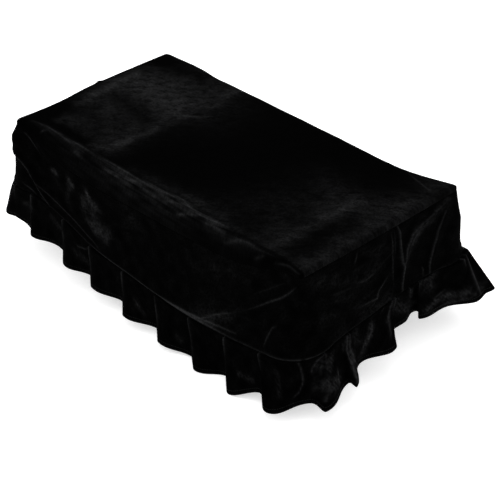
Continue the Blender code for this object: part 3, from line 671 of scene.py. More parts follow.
# How finely each sheet is divided: its inner face has one step for each SKIP of the outer, the panel's lines
# are CLOSER times as close over its rolled edges, and the band's columns SPARSER times as far apart where the
# photo doesn't show it, outside the stretch from SEEN_FROM to SEEN_TO
SKIP = 3
PANEL_COLUMNS = 340
PANEL_ROWS = 226
CLOSER = 4
BAND_COLUMNS = 1026
BAND_ROWS = 72
SPARSER = 2.2
SEEN_FROM = -0.060
SEEN_TO = 1.190
SEEN_CELLS = 30
HIDDEN_CELLS = 18
FLOUNCE_ROWS = 36

# Closer rows at the edges of the band and the flounce, and the shares of their height that these take up
EDGE_ROWS = 5
EDGE_SHARE = 0.030
SEAM_SHARE = 0.05
HEM_SHARE = 0.12

# Studio: strength of the white surroundings, the lamps and the place they are turned towards, and the floor:
# half its width, and its gap under the lowest hem
SURROUND = 0.80
Lamp = namedtuple("Lamp", "name place side power")
LAMPS = [
    Lamp("overhead", (-0.6, 0.9, 2.6), 2.2, 40.0),
    Lamp("left", (-2.4, -1.2, 1.4), 1.6, 20.0),
    Lamp("right", (2.2, 1.4, 1.6), 1.6, 15.0),
]
LAMP_TARGET = (0.0, 0.0, -0.1)
FLOOR_HALF = 6.0
FLOOR_GAP = 0.001

# Camera: its turn round the cover, height over the level and roll in degrees, its place, its lens and sensor in
# millimetres, and how far it sees
CAMERA_ANGLES = (47.565, 33.114, -2.272)
CAMERA_PLACE = (1.8918, -1.6822, 1.4380)
CAMERA_LENS = 117.71
CAMERA_SENSOR = 36.0
CAMERA_SIGHT = 50.0


def hermite(t, a, b, slope_a, slope_b):
    """Cubic from a to b with the given end slopes, for t from 0 to 1."""
    return (
        (2 * t**3 - 3 * t**2 + 1) * a
        + (t**3 - 2 * t**2 + t) * slope_a
        + (3 * t**2 - 2 * t**3) * b
        + (t**3 - t**2) * slope_b
    )


def smooth_line(knots, values, at, period=None):
    """Cubic through the values at the knots, its slopes the mean of its neighbours' and flat at each peak."""
    knots = np.asarray(knots, float)
    values = np.asarray(values, float)
    at = np.asarray(at, float)
    if period:
        at = knots[0] + np.mod(at - knots[0], period)
        knots = np.concatenate([[knots[-1] - period], knots, knots[:2] + period])
        values = np.concatenate([values[-1:], values, values[:2]])
    steps = np.diff(knots)
    rises = np.diff(values) / steps
    slopes = np.concatenate([rises[:1], (rises[1:] + rises[:-1]) / 2, rises[-1:]])
    flat = np.concatenate([[False], rises[1:] * rises[:-1] <= 0, [False]])
    slopes[flat] = 0.0
    index = np.clip(np.searchsorted(knots, at, side="right") - 1, 0, len(steps) - 1)
    step = steps[index]
    t = np.clip((at - knots[index]) / step, 0.0, 1.0)
    return hermite(t, values[index], values[index + 1], slopes[index] * step, slopes[index + 1] * step)


def ease(t):
    """0 to 1 with no slope at either end: three squares less two cubes."""
    t = np.clip(t, 0.0, 1.0)
    return t * t * (3 - 2 * t)


def bell(distance, width):
    """1 at no distance, falling off as e to the power of less the square of the distance in widths."""
    return np.exp(-(distance / width) ** 2)


def around(side, along):
    """Distance round the cut outline, from the front left corner towards +X, of a point on one side."""
    return {
        "front": along + HALF_X,
        "right": PANEL_LENGTH + along + HALF_Y,
        "back": PANEL_LENGTH + PANEL_WIDTH + HALF_X - along,
        "left": PERIMETER - HALF_Y - along,
    }[side]


def outline(distance):
    """Point on the cut outline, and the outward normal, whose angle eases round within TURN of each corner."""
    distance = np.mod(np.asarray(distance, float), PERIMETER)
    ends = np.cumsum([0.0, PANEL_LENGTH, PANEL_WIDTH, PANEL_LENGTH, PANEL_WIDTH])
    side = np.clip(np.searchsorted(ends, distance, side="right") - 1, 0, 3)
    step = distance - ends[side]
    length = np.diff(ends)[side]
    x = np.choose(side, [step - HALF_X, HALF_X + 0 * step, HALF_X - step, -HALF_X + 0 * step])
    y = np.choose(side, [-HALF_Y + 0 * step, step - HALF_Y, HALF_Y + 0 * step, HALF_Y - step])
    turn = (1 - ease(step / TURN)) * -0.5 + (1 - ease((length - step) / TURN)) * 0.5
    angle = (side - 1 + turn) * math.pi / 2
    return x, y, np.cos(angle), np.sin(angle)


def rounded(x, y, radius):
    """The point pulled in near a corner, each axis by one less the root of one less half the other's square."""
    p = np.clip((np.abs(x) - (HALF_X - radius)) / radius, 0.0, 1.0)
    q = np.clip((np.abs(y) - (HALF_Y - radius)) / radius, 0.0, 1.0)
    pull_x = radius * p * (1 - np.sqrt(1 - q * q / 2))
    pull_y = radius * q * (1 - np.sqrt(1 - p * p / 2))
    return x - np.sign(x) * pull_x, y - np.sign(y) * pull_y


def read(rows, column, at):
    """Smooth curve through one column of a table of hangs."""
    return smooth_line([row.along for row in rows], [getattr(row, column) for row in rows], at)


def rolled(rows, at, inside, square):
    """Drop of a rolled edge, a quarter of a superellipse: one less the root of one less t to that power."""
    t = np.clip(1 - inside / read(rows, "roll", at), 0.0, 1.0)
    return read(rows, "drop", at) * (1 - np.maximum(1 - t**square, 0.0) ** (1 / square))


def ripple(u, v, wave):
    """Uneven waves: the mean of sine waves of set directions near the wave's length, times twice its height.

    They are its stretch times as long along u as down v, and a whole number of each goes round the cover.
    """
    rng = np.random.default_rng(wave.seed)
    total = 0.0
    for _ in range(SINES):
        angle = rng.uniform(0, 2 * math.pi)
        length = wave.length * rng.uniform(*SINE_LENGTHS)
        turns = round(math.cos(angle) * PERIMETER / (length * wave.stretch))
        run = turns * u / PERIMETER + math.sin(angle) * v / length
        total = total + np.sin(2 * math.pi * run + rng.uniform(0, 2 * math.pi))
    return wave.height * total * 2 / SINES


def ripples(u, v, waves):
    """Sum of several kinds of waves."""
    return sum(ripple(u, v, wave) for wave in waves)


def round_gap(gap):
    """The same gap along the cover, taken the shorter way round it."""
    return np.mod(gap + PERIMETER / 2, PERIMETER) - PERIMETER / 2


def lines_lift(u, v, lines, height=1.0):
    """Sum of the creases or strokes: each falls off exponentially from a rounded crest along its own line.

    u and v are metres, and a line's points lie at a share of the sheet's height. From one point to the next its
    strength runs evenly, and where two of its stretches meet, the stronger counts.
    """
    total = np.zeros(np.broadcast(u, v).shape)
    for line in lines:
        strongest = np.zeros_like(total)
        points = [(place_of(line.side, along), down * height, lift) for along, down, lift in line.points]
        for (ua, va, lift_a), (ub, vb, lift_b) in zip(points, points[1:]):
            run_u, run_v = round_gap(ub - ua), vb - va
            gap_u, gap_v = round_gap(u - ua), v - va
            share = np.clip((gap_u * run_u + gap_v * run_v) / (run_u**2 + run_v**2), 0.0, 1.0)
            off_u = gap_u - share * run_u
            off_v = gap_v - share * run_v
            away = np.sqrt(off_u**2 + off_v**2 + line.crest**2) - line.crest
            flank = np.where(run_u * off_v - run_v * off_u > 0, line.steep, 1.0) * line.width
            lift = (lift_a + (lift_b - lift_a) * share) * np.exp(-away / flank)
            strongest = np.where(np.abs(lift) > np.abs(strongest), lift, strongest)
        total += strongest
    return total


def shine(u, v, lines, height=1.0):
    """Painted highlight along the creases' crests, as a brightness of the pile: the same lines, narrow and even
    on both sides.
    """
    thin = [
        line._replace(
            width=SHINE_WIDTH,
            steep=1.0,
            crest=SHINE_WIDTH / 2,
            points=[(along, down, math.sqrt(abs(lift)) * SHINE) for along, down, lift in line.points],
        )
        for line in lines
    ]
    return lines_lift(u, v, thin, height)


def warped(u, v, waves, share=1.0):
    """The place moved along the sheet by the first of two waves and down it by the second."""
    along, down = waves
    return u + share * ripple(u, v, along), v + share * ripple(u, v, down)


def place_of(side, along):
    """Distance round the outline of a point on a side; on the panel, the point's own x."""
    return along if side == "top" else around(side, along)


def outward(points, closed):
    """Unit normals of a grid of points: the slope down its rows crossed with the slope along them."""
    down = np.gradient(points, axis=0)
    if closed:
        along = np.roll(points, -1, axis=1) - np.roll(points, 1, axis=1)
    else:
        along = np.gradient(points, axis=1)
    normal = np.cross(down, along)
    return normal / np.linalg.norm(normal, axis=-1, keepdims=True)


def seam_tuck(fall):
    """How far a seam draws the cloth in at this distance from it: what a quarter circle leaves."""
    t = np.clip(1 - fall / SEAM_ROUND, 0.0, 1.0)
    return SEAM_DEPTH * (1 - np.sqrt(1 - t * t))


def panel_point(x, y):
    """Upper face of the panel over a point of its cut: the cube root of the four edges' cubed drops.

    Each edge also draws in or stands out as its seam does, which eases away within DRAW_REACH of it.
    """
    edges = [
        (FRONT_SEAM, x, HALF_Y + y, FRONT_SQUARE),
        (BACK_SEAM, x, HALF_Y - y, SIDE_SQUARE),
        (LEFT_SEAM, y, HALF_X + x, SIDE_SQUARE),
        (RIGHT_SEAM, y, HALF_X - x, SIDE_SQUARE),
    ]
    drop = np.cbrt(sum(rolled(*edge) ** 3 for edge in edges))
    front, back, left, right = (
        read(rows, "out", at) * (1 - ease(inside / DRAW_REACH)) for rows, at, inside, _ in edges
    )
    px, py = rounded(x, y, TOP_CORNER)
    return np.stack([px - left + right, py - front + back, TOP - drop], axis=-1)


def foot_value(column, distance):
    """Smooth closed curve round the cover through one column of BAND_FOOT."""
    rows = sorted(BAND_FOOT, key=lambda row: around(row.side, row.along))
    knots = [around(row.side, row.along) for row in rows]
    return smooth_line(knots, [getattr(row, column) for row in rows], distance, PERIMETER)


def foot_slope(nx, ny):
    """Way the cloth runs at the seam between band and flounce: down, and a little out."""
    return np.stack([nx * FOOT_LEAN, ny * FOOT_LEAN, -np.ones_like(nx)], axis=-1)


def band_point(distance, down):
    """Outer face of the band: a cubic from straight down at the upper seam to the foot's slope at the lower.

    Its corners open from the panel's radius to the foot's: the front right one at once, as one less the square
    of one less the share down, and the others slowly, as that share eased.
    """
    x, y, nx, ny = outline(distance)
    top = panel_point(x, y)
    top[..., 2] -= RIM
    sharp_x, sharp_y = rounded(x, y, TOP_CORNER)
    out = foot_value("out", distance)
    foot = np.stack([sharp_x + nx * out, sharp_y + ny * out, TOP - foot_value("drop", distance)], axis=-1)
    height = top[..., 2:] - foot[..., 2:]
    point = hermite(down, top, foot, height * [0.0, 0.0, -1.0], foot_slope(nx, ny) * height)
    opening = np.where((x > 0) & (y < 0), 1 - (1 - down) ** 2, ease(down))
    round_x, round_y = rounded(x, y, TOP_CORNER + (FOOT_CORNER - TOP_CORNER) * opening)
    point[..., 0] += round_x - sharp_x
    point[..., 1] += round_y - sharp_y
    return point


def on_side(side, along, out):
    """Plan point given by a side, a distance along it and a distance out from it."""
    return {
        "front": (along, -HALF_Y - out),
        "right": (HALF_X + out, along),
        "back": (along, HALF_Y + out),
        "left": (-HALF_X - out, along),
    }[side]


def pleat_knots():
    """Hollow and crest of each pleat in turn: hem point in plan, place on the seam, fall, crest or not, cells."""
    knots = []
    for pleat in PLEATS:
        cells = SEEN_CELLS if pleat.side in ("front", "right") else HIDDEN_CELLS
        for along, out, seam, crest in (
            (pleat.hollow, pleat.hollow_out, pleat.hollow_seam, 0.0),
            (pleat.crest, pleat.crest_out, pleat.crest_seam, 1.0),
        ):
            knots.append((*on_side(pleat.side, along, out), around(pleat.side, seam), pleat.fall, crest, cells))
    return np.array(knots).T


def flounce_ring():
    """Round the flounce: plan points of the hem, a cubic from knot to knot, with its place, fall and crest."""
    x, y, seam, fall, crest, cells = pleat_knots()
    cells = cells.astype(int)
    hem = np.column_stack([x, y])
    ahead = np.roll(hem, -1, axis=0)
    tangent = ahead - np.roll(hem, 1, axis=0)
    tangent /= np.linalg.norm(tangent, axis=1, keepdims=True)
    chord = np.linalg.norm(ahead - hem, axis=1, keepdims=True) * ROUNDNESS
    leave, arrive = tangent * chord, np.roll(tangent, -1, axis=0) * chord
    step = np.mod(np.roll(seam, -1) - seam, PERIMETER)
    span = np.repeat(np.arange(len(cells)), cells)
    t = (np.arange(len(span)) - (np.cumsum(cells) - cells)[span]) / cells[span]
    plan = hermite(t[:, None], hem[span], ahead[span], leave[span], arrive[span])
    fall = fall[span] + (np.roll(fall, -1) - fall)[span] * t
    crest = crest[span] + (np.roll(crest, -1) - crest)[span] * t
    return plan, seam[span] + step[span] * t, fall, crest


def spaced_rows(count, share_top, share_bottom):
    """0 to 1 in even steps, with EDGE_ROWS closer rows within these shares of the top and the bottom."""
    top = np.linspace(0, share_top, EDGE_ROWS + 1)[:-1]
    bottom = np.linspace(1 - share_bottom, 1, EDGE_ROWS + 1)[1:]
    return np.concatenate([top, np.linspace(share_top, 1 - share_bottom, count), bottom])


def grid_lines(half, near_roll, far_roll, count):
    """Places of the panel's grid lines, CLOSER times as close over the rolled edges as on the flat."""
    places = np.array([-half, near_roll - half, half - far_roll, half])
    weight = np.cumsum([0.0, near_roll * CLOSER, 2 * half - near_roll - far_roll, far_roll * CLOSER])
    return np.interp(np.linspace(0, weight[-1], count), weight, places)


def band_places():
    """Places of the band's columns round the cover, SPARSER times as far apart where it isn't seen."""
    places = np.array([SEEN_FROM, SEEN_TO, PERIMETER + SEEN_FROM])
    seen, hidden = np.diff(places)
    weight = np.array([0.0, seen, seen + hidden / SPARSER])
    return np.interp(np.arange(BAND_COLUMNS) / BAND_COLUMNS * weight[-1], weight, places)


def quads(index, closed):
    """Faces between neighbouring rows and columns of a grid of vertex numbers."""
    after = np.roll(index, -1, axis=1) if closed else index[:, 1:]
    here = index if closed else index[:, :-1]
    return np.stack([here[:-1], here[1:], after[1:], after[:-1]], axis=-1).reshape(-1, 4)


def cut_edge(fine, coarse):
    """Faces over the cut edge of a ring of cloth, each from SKIP steps of its outer side to one inside."""
    start = np.arange(len(coarse)) * SKIP
    steps = [fine[(start + step) % len(fine)] for step in range(SKIP + 1)]
    return np.column_stack([*steps, np.roll(coarse, -1), coarse])


def corners_of(faces, cut):
    """Place on the cut of each face's corners, carried past the end of a ring where the ring closes."""
    corners = cut[faces]
    along = corners[..., 0]
    closing = (np.ptp(along, axis=1) > PERIMETER / 2)[:, None] & (along < PERIMETER / 2)
    corners[..., 0] = along + closing * PERIMETER
    return corners.reshape(-1, 2)


def scene_object(name, data):
    """New object in the scene that holds a mesh, a lamp or a camera."""
    obj = bpy.data.objects.new(name, data)
    bpy.context.scene.collection.objects.link(obj)
    return obj


def mesh_object(name, points, faces, materials):
    """New smooth mesh object, its place in its points."""
    mesh = bpy.data.meshes.new(name)
    mesh.from_pydata(points.reshape(-1, 3).tolist(), [], faces)
    for material in materials:
        mesh.materials.append(material)
    mesh.shade_smooth()
    return scene_object(name, mesh)


def cloth_piece(name, points, cut, nap_sheen, crease, pile_faces, woven_faces, materials):
    """One sheet as an object: pile outside and at its edges, and weave inside.

    Its cut in metres is its UV map, and the painted sheen of brushed pile and the root of the creases' painted
    highlight are attributes.
    """
    groups = pile_faces + woven_faces
    piece = mesh_object(name, points, [face for group in groups for face in group.tolist()], materials)
    mesh = piece.data
    corners = np.concatenate([corners_of(group, cut) for group in groups])
    mesh.uv_layers.new(name="cut").data.foreach_set("uv", corners.astype(np.float32).ravel())
    for key, values in (("nap_sheen", np.maximum(nap_sheen, 0.0)), ("crease", np.maximum(crease, 0.0) ** (1 / SHARPEN))):
        column = np.zeros(len(points), np.float32)
        column[: values.size] = values.ravel()
        mesh.attributes.new(key, "FLOAT", "POINT").data.foreach_set("value", column)
    woven = np.repeat([0, 1], [sum(len(group) for group in part) for part in (pile_faces, woven_faces)])
    mesh.polygons.foreach_set("material_index", woven)
    return piece


def edge_ring(index):
    """Vertex numbers round the edge of a grid, from its front left corner towards +X."""
    return np.concatenate([index[-1, :-1], index[:0:-1, -1], index[0, :0:-1], index[:-1, 0]])


def panel_surface():
    """The panel's cut, its outer face, its normals, its painted sheen of brushed pile and the painted highlight
    of its creases and front roll.

    Folds, creases and waves are raised along the normal of the smooth panel and end at the seam. Over the front
    roll the pile lies in long strands, whose waves also make the painted highlight there streaky.
    """
    x = grid_lines(HALF_X, END_ROLL, END_ROLL, PANEL_COLUMNS)
    y = grid_lines(HALF_Y, FRONT_ROLL, BACK_ROLL, PANEL_ROWS)[::-1]
    u, v = np.meshgrid(x, y)
    base = panel_point(u, v)
    normal = outward(base, False)
    roll = read(FRONT_SEAM, "roll", u)
    on_roll = ease((STRAND_REACH * roll - (HALF_Y + v)) / STRAND_END)
    strands = ripples(u, v, STRANDS) * on_roll * roll / FRONT_ROLL
    lift = lines_lift(u, v, PANEL_CREASES + PANEL_FOLDS) + ripples(u, v, PANEL_WAVES) + STRAND_HEIGHT * strands
    inside = np.minimum(HALF_X - np.abs(u), HALF_Y - np.abs(v))
    points = base + normal * (lift * ease(inside / PANEL_FADE))[..., None]
    # Painted sheen of brushed pile, and painted highlight along the creases and the front roll
    nap_sheen = lines_lift(*warped(u, v, PANEL_WARP, 1 - on_roll), PANEL_NAP_SHEEN) * (1 - on_roll)
    streaks = np.clip(1 + STRAND_CONTRAST * strands, STRAND_LEAST, None)
    crease = (PANEL_SHINE * shine(u, v, PANEL_CREASES) + lines_lift(u, v, ROLL_HIGHLIGHTS) * on_roll) * streaks
    return np.stack([u, v], axis=-1), points, normal, nap_sheen, crease


def top_panel(materials):
    """The panel: its outer face, its rim turned straight down and tucked in at the seam, and its inner face."""
    flat, points, normal, nap_sheen, crease = panel_surface()
    index = np.arange(nap_sheen.size).reshape(nap_sheen.shape)
    edge = edge_ring(index)
    rim = points.reshape(-1, 3)[edge]
    tangent = np.roll(rim, -1, axis=0) - np.roll(rim, 1, axis=0)
    tangent /= np.linalg.norm(tangent[:, :2], axis=1, keepdims=True)
    out = np.column_stack([tangent[:, 1], -tangent[:, 0], np.zeros(len(edge))])
    fall = np.linspace(0, RIM, EDGE_ROWS + 2)[1:]
    turned = rim - out * seam_tuck(RIM - fall)[:, None, None] - [0, 0, 1] * fall[:, None, None]
    ring = np.concatenate([edge[None], nap_sheen.size + np.arange(turned[..., 0].size).reshape(turned.shape[:2])])

    inner = (points - normal * VELVET_THICK)[::SKIP, ::SKIP]
    inner_rim = (turned[-1] - out * VELVET_THICK)[::SKIP]
    inner_index = ring.max() + 1 + np.arange(inner[..., 0].size).reshape(inner.shape[:2])
    inner_ring = np.stack([edge_ring(inner_index), inner_index.max() + 1 + np.arange(len(inner_rim))])

    flat_rim = flat.reshape(-1, 2)[edge] + out[:, :2] * fall[:, None, None]
    cut = (flat, flat_rim, flat[::SKIP, ::SKIP], flat_rim[-1, ::SKIP])
    return cloth_piece(
        "top_panel_cloth",
        np.concatenate([part.reshape(-1, 3) for part in (points, turned, inner, inner_rim)]),
        np.concatenate([part.reshape(-1, 2) for part in cut]),
        np.concatenate([nap_sheen.ravel(), np.tile(nap_sheen.ravel()[edge], len(fall))]),
        np.concatenate([crease.ravel(), np.tile(crease.ravel()[edge], len(fall))]),
        [quads(index, False), quads(ring, True), cut_edge(ring[-1], inner_ring[-1])[:, ::-1]],
        [quads(inner_index, False)[:, ::-1], quads(inner_ring, True)[:, ::-1]],
        materials,
    )


def ring_piece(name, points, along, fall, nap_sheen, crease, thickness, kept_rows, materials):
    """A sheet sewn into a ring, from rows of points; along and fall are its cut in metres."""
    fine = np.arange(nap_sheen.size).reshape(nap_sheen.shape)
    inner = (points - outward(points, True) * thickness)[kept_rows][:, ::SKIP]
    coarse = fine.size + np.arange(inner[..., 0].size).reshape(inner.shape[:2])
    cut = np.stack([along, -fall], axis=-1)
    return cloth_piece(
        name,
        np.concatenate([points.reshape(-1, 3), inner.reshape(-1, 3)]),
        np.concatenate([cut.reshape(-1, 2), cut[kept_rows][:, ::SKIP].reshape(-1, 2)]),
        nap_sheen,
        crease,
        [quads(fine, True), cut_edge(fine[0], coarse[0]), cut_edge(fine[-1], coarse[-1])[:, ::-1]],
        [quads(coarse, True)[:, ::-1]],
        materials,
    )


def lapped(points, nx, ny):
    """The rows of a sheet with two more above its seam, for the allowance that stands up inside."""
    inward = points[0] - LAP_IN * np.stack([nx, ny, np.zeros_like(nx)], axis=-1)
    return np.concatenate([[inward + [0.0, 0.0, LAP_RISE], inward], points])


def lapped_rows(values, first, second):
    """Rows of a value with those two more above them."""
    return np.concatenate([[first + 0 * values[0], second + 0 * values[0]], values])


def side_band(materials):
    """The band: its hang, lifted along the normal by folds, creases and waves that die out at both seams.

    Just above the lower seam the cloth rolls out as a bell curve. On the right end lie shallow swags: waves
    along parabolas that sag in the middle, fading as e to the power of less the fourth power of the distance.
    """
    distance = band_places()
    down = spaced_rows(BAND_ROWS, EDGE_SHARE, EDGE_SHARE)
    u, share = np.meshgrid(distance, down)
    v = share * BAND_HEIGHT
    rise = BAND_HEIGHT - v
    base = np.array([band_point(distance, row) for row in down])
    level = np.sqrt(np.sin(math.pi * share))
    beside = (u - around("right", SWAG_MIDDLE)) / SWAG_REACH
    swags = ripple(u, v + SWAG_SAG * beside**2, BAND_SWAGS) * np.exp(-(beside**4)) * level
    broad = (lines_lift(u, v, BAND_FOLDS, BAND_HEIGHT) + ripples(u, v, BAND_WAVES)) * level
    fade = ease(share / UPPER_FADE) * ease((1 - share) / LOWER_FADE)
    crisp = lines_lift(u, v, BAND_CREASES, BAND_HEIGHT) * fade
    roll = FOOT_ROLL * bell(rise - FOOT_ROLL_RISE, FOOT_ROLL_WIDTH)
    lift = broad + crisp + roll + SWAG_HEIGHT * swags - seam_tuck(v) - seam_tuck(rise)
    # Painted sheen of brushed pile, and painted highlight along the creases, the lower seam and the swags' crests
    nap_sheen = lines_lift(*warped(u, v, BAND_WARP), BAND_NAP_SHEEN, BAND_HEIGHT) + EVEN_NAP_SHEEN + ripple(u, v, BAND_CLOUDS)
    crease = shine(u, v, BAND_CREASES, BAND_HEIGHT) + lines_lift(u, v, BAND_EDGE_SHINE, BAND_HEIGHT)
    crease += SWAG_SHINE * np.clip(swags - SWAG_SHADE, 0.0, 1.0)
    _, _, nx, ny = outline(distance)
    points = lapped(base + outward(base, True) * lift[..., None], nx, ny)
    kept_rows = np.unique(np.append(np.arange(0, len(points), SKIP), len(points) - 1))
    return ring_piece(
        "side_band_cloth",
        points,
        np.concatenate([u[:2], u]),
        lapped_rows(v, -LAP_RISE, 0.0),
        lapped_rows(nap_sheen, 0.0, 0.0),
        lapped_rows(crease, 0.0, 0.0),
        VELVET_THICK,
        kept_rows,
        materials,
    )


# Outer face of the flounce: its points and cut, the painted highlight of its creases, and the outward direction
# in plan
Surface = namedtuple("Surface", "points along fall crease nx ny")


def flounce_surface():
    """Outer face of the flounce, rows from seam to hem, with its cut and the painted highlight of its creases.

    Each column is a cubic from the seam to the hem's plan point. Each crest stands proud from just under the
    seam, and a groove marks the row of stitches above the hem. The painted highlight runs down each crest and
    along the hem, and falls off as e to the power of less the distance from them.
    """
    plan, place, fall, crest = flounce_ring()
    _, _, nx, ny = outline(place)
    top = band_point(place, 1.0)
    hem = np.column_stack([plan, top[:, 2] - fall])
    length = np.linalg.norm(hem - top, axis=1)
    leave = foot_slope(nx, ny) * length[:, None] * LEAVE
    down = spaced_rows(FLOUNCE_ROWS, SEAM_SHARE, HEM_SHARE)
    base = np.array([hermite(row, top, hem, leave, (hem - top) * ARRIVE) for row in down])
    u, share = np.broadcast_arrays(place, down[:, None])
    v = share * length
    rise = (1 - share) * length
    level = share * FLOUNCE_HEIGHT
    from_seam = ease(share / SEAM_SHARE)
    gather = GATHER * (crest - GATHER_MIDDLE) * from_seam * (1 - ease((share - GATHER_FROM) / GATHER_FADE))
    crisp = lines_lift(u, level, FLOUNCE_CREASES + FLOUNCE_FOLDS, FLOUNCE_HEIGHT) * from_seam
    waves = ripple(u, v, FLOUNCE_WAVES) * ease(share / WAVE_FADE)
    groove = STITCH_GROOVE * bell(rise - STITCH_LINE, GROOVE_WIDTH)
    points = base + outward(base, True) * (gather + crisp + waves - seam_tuck(v) - groove)[..., None]
    uneven = np.clip(CREST_EVEN + ripple(u, v, FLOUNCE_CRESTS), CREST_LEAST, None)
    reach = np.interp(u, *zip(*CREST_REACH))
    pleat_crest_highlight = CREST_SHINE * uneven * np.exp((crest - 1) / CREST_THIN) * (1 - ease(share / reach))
    hem_highlight = HEM_SHINE * np.exp(-rise / HEM_SHINE_WIDTH)
    painted_highlights = pleat_crest_highlight + hem_highlight + shine(u, level, FLOUNCE_CREASES, FLOUNCE_HEIGHT)
    return Surface(points, u, v, painted_highlights, nx, ny)


def flounce(surface, materials):
    """The flounce: its outer face, carried round the hem in a half circle and up inside to the raw edge.

    The cloth is as thick as the rest down to twice the hem's depth, and thins from there to one layer of the
    hem. Its painted sheen of brushed pile is streaky, in slanting waves.
    """
    points, fall = surface.points, surface.fall
    normal = outward(points, True)[-1]
    way = points[-1] - points[-2]
    way /= np.linalg.norm(way, axis=1, keepdims=True)
    angle = np.linspace(0, math.pi, TURN_ROWS + 1)[1:, None, None]
    turned = points[-1] + way * HEM_TURN * np.sin(angle) - normal * HEM_TURN * (1 - np.cos(angle))
    rise = np.linspace(0, HEM_DEPTH, INSIDE_ROWS + 1)[1:, None, None]
    inner = points[-1] - normal * 2 * HEM_TURN - way * rise
    path = np.concatenate([angle[:, 0] * HEM_TURN, math.pi * HEM_TURN + rise[:, 0]])
    whole = np.concatenate([lapped(points, surface.nx, surface.ny), turned, inner])
    u = np.concatenate([surface.along[:2], surface.along, np.tile(surface.along[-1], (len(path), 1))])
    v = np.concatenate([lapped_rows(fall, -LAP_RISE, 0.0), fall[-1] + path])
    # Painted sheen of brushed pile, in streaks and clouds
    nap_sheen = lines_lift(u + ripple(u, v, FLOUNCE_WARP), v, FLOUNCE_NAP_SHEEN, FLOUNCE_HEIGHT)
    nap_sheen *= np.clip(1 + ripple(u - STREAK_SLANT * v, v, FLOUNCE_STREAKS), STREAK_LEAST, None)
    nap_sheen += EVEN_NAP_SHEEN + ripple(u, v, FLOUNCE_CLOUDS)
    crease = np.zeros_like(nap_sheen)
    crease[2 : 2 + len(points)] = surface.crease
    close_row = 2 + len(points) - 1 - EDGE_ROWS
    kept_rows = np.concatenate([np.arange(0, close_row, SKIP), np.arange(close_row, len(whole))])
    above_hem = ease((fall[-1] - v) / HEM_DEPTH - 1)[..., None]
    thickness = HEM_LAYER + (VELVET_THICK - HEM_LAYER) * above_hem
    return ring_piece("flounce_cloth", whole, u, v, nap_sheen, crease, thickness, kept_rows, materials)


def stitch_places(surface):
    """Middle, run and outward normal of each stitch: even steps along the line STITCH_LINE above the hem."""
    points, fall = surface.points, surface.fall
    level = fall[-1] - STITCH_LINE
    below = (fall < level).sum(axis=0)
    column = np.arange(points.shape[1])
    above_fall, below_fall = fall[below - 1, column], fall[below, column]
    share = ((level - above_fall) / (below_fall - above_fall))[:, None]
    line = points[below - 1, column] * (1 - share) + points[below, column] * share
    face = outward(points, True)[below, column]
    line, face = (np.concatenate([values, values[:1]]) for values in (line, face))
    length = np.concatenate([[0.0], np.cumsum(np.linalg.norm(np.diff(line, axis=0), axis=1))])
    count = round(length[-1] / STITCH_PITCH)
    at = (np.arange(count) + 0.5) * length[-1] / count

    def along(values, places):
        return np.column_stack([np.interp(places, length, values[:, axis]) for axis in range(3)])

    run = along(line, at + STITCH_LONG / 2) - along(line, at - STITCH_LONG / 2)
    return along(line, at), run / np.linalg.norm(run, axis=1, keepdims=True), along(face, at)


def hem_stitching(surface, thread):
    """Running stitches of the hem, each a short tube along its run, with both ends narrow and sunk.

    With s from -1 to 1 along a stitch, its radius is the root of one less most of s to the eighth, and it rises
    and sinks by a share of its width less another times s to the fourth.
    """
    middle, run, face = stitch_places(surface)
    across = np.cross(face, run)
    across /= np.linalg.norm(across, axis=1, keepdims=True)
    up = np.cross(run, across)
    share = np.array(STITCH_RINGS)
    radius = STITCH_WIDE / 2 * np.sqrt(1 - STITCH_TAPER * share**8)
    rise = STITCH_WIDE * (STITCH_PROUD - STITCH_SINK * share**4)
    turn = np.arange(STITCH_SIDES) * 2 * math.pi / STITCH_SIDES
    centre = middle[:, None] + run[:, None] * (share * STITCH_LONG / 2)[:, None] + up[:, None] * rise[:, None]
    ring = across[:, None] * np.cos(turn)[:, None] + up[:, None] * np.sin(turn)[:, None]
    points = centre[:, :, None] + ring[:, None] * radius[:, None, None]
    index = np.arange(points[..., 0].size).reshape(points.shape[:3])
    closed = np.concatenate([index, index[:, :, :1]], axis=2)
    here, after = closed[:, :-1], closed[:, 1:]
    sides = np.stack([here[..., :-1], here[..., 1:], after[..., 1:], after[..., :-1]], axis=-1).reshape(-1, 4)
    ends = index[:, 0, ::-1].tolist() + index[:, -1].tolist()
    return mesh_object("hem_stitching", points, sides.tolist() + ends, [thread])


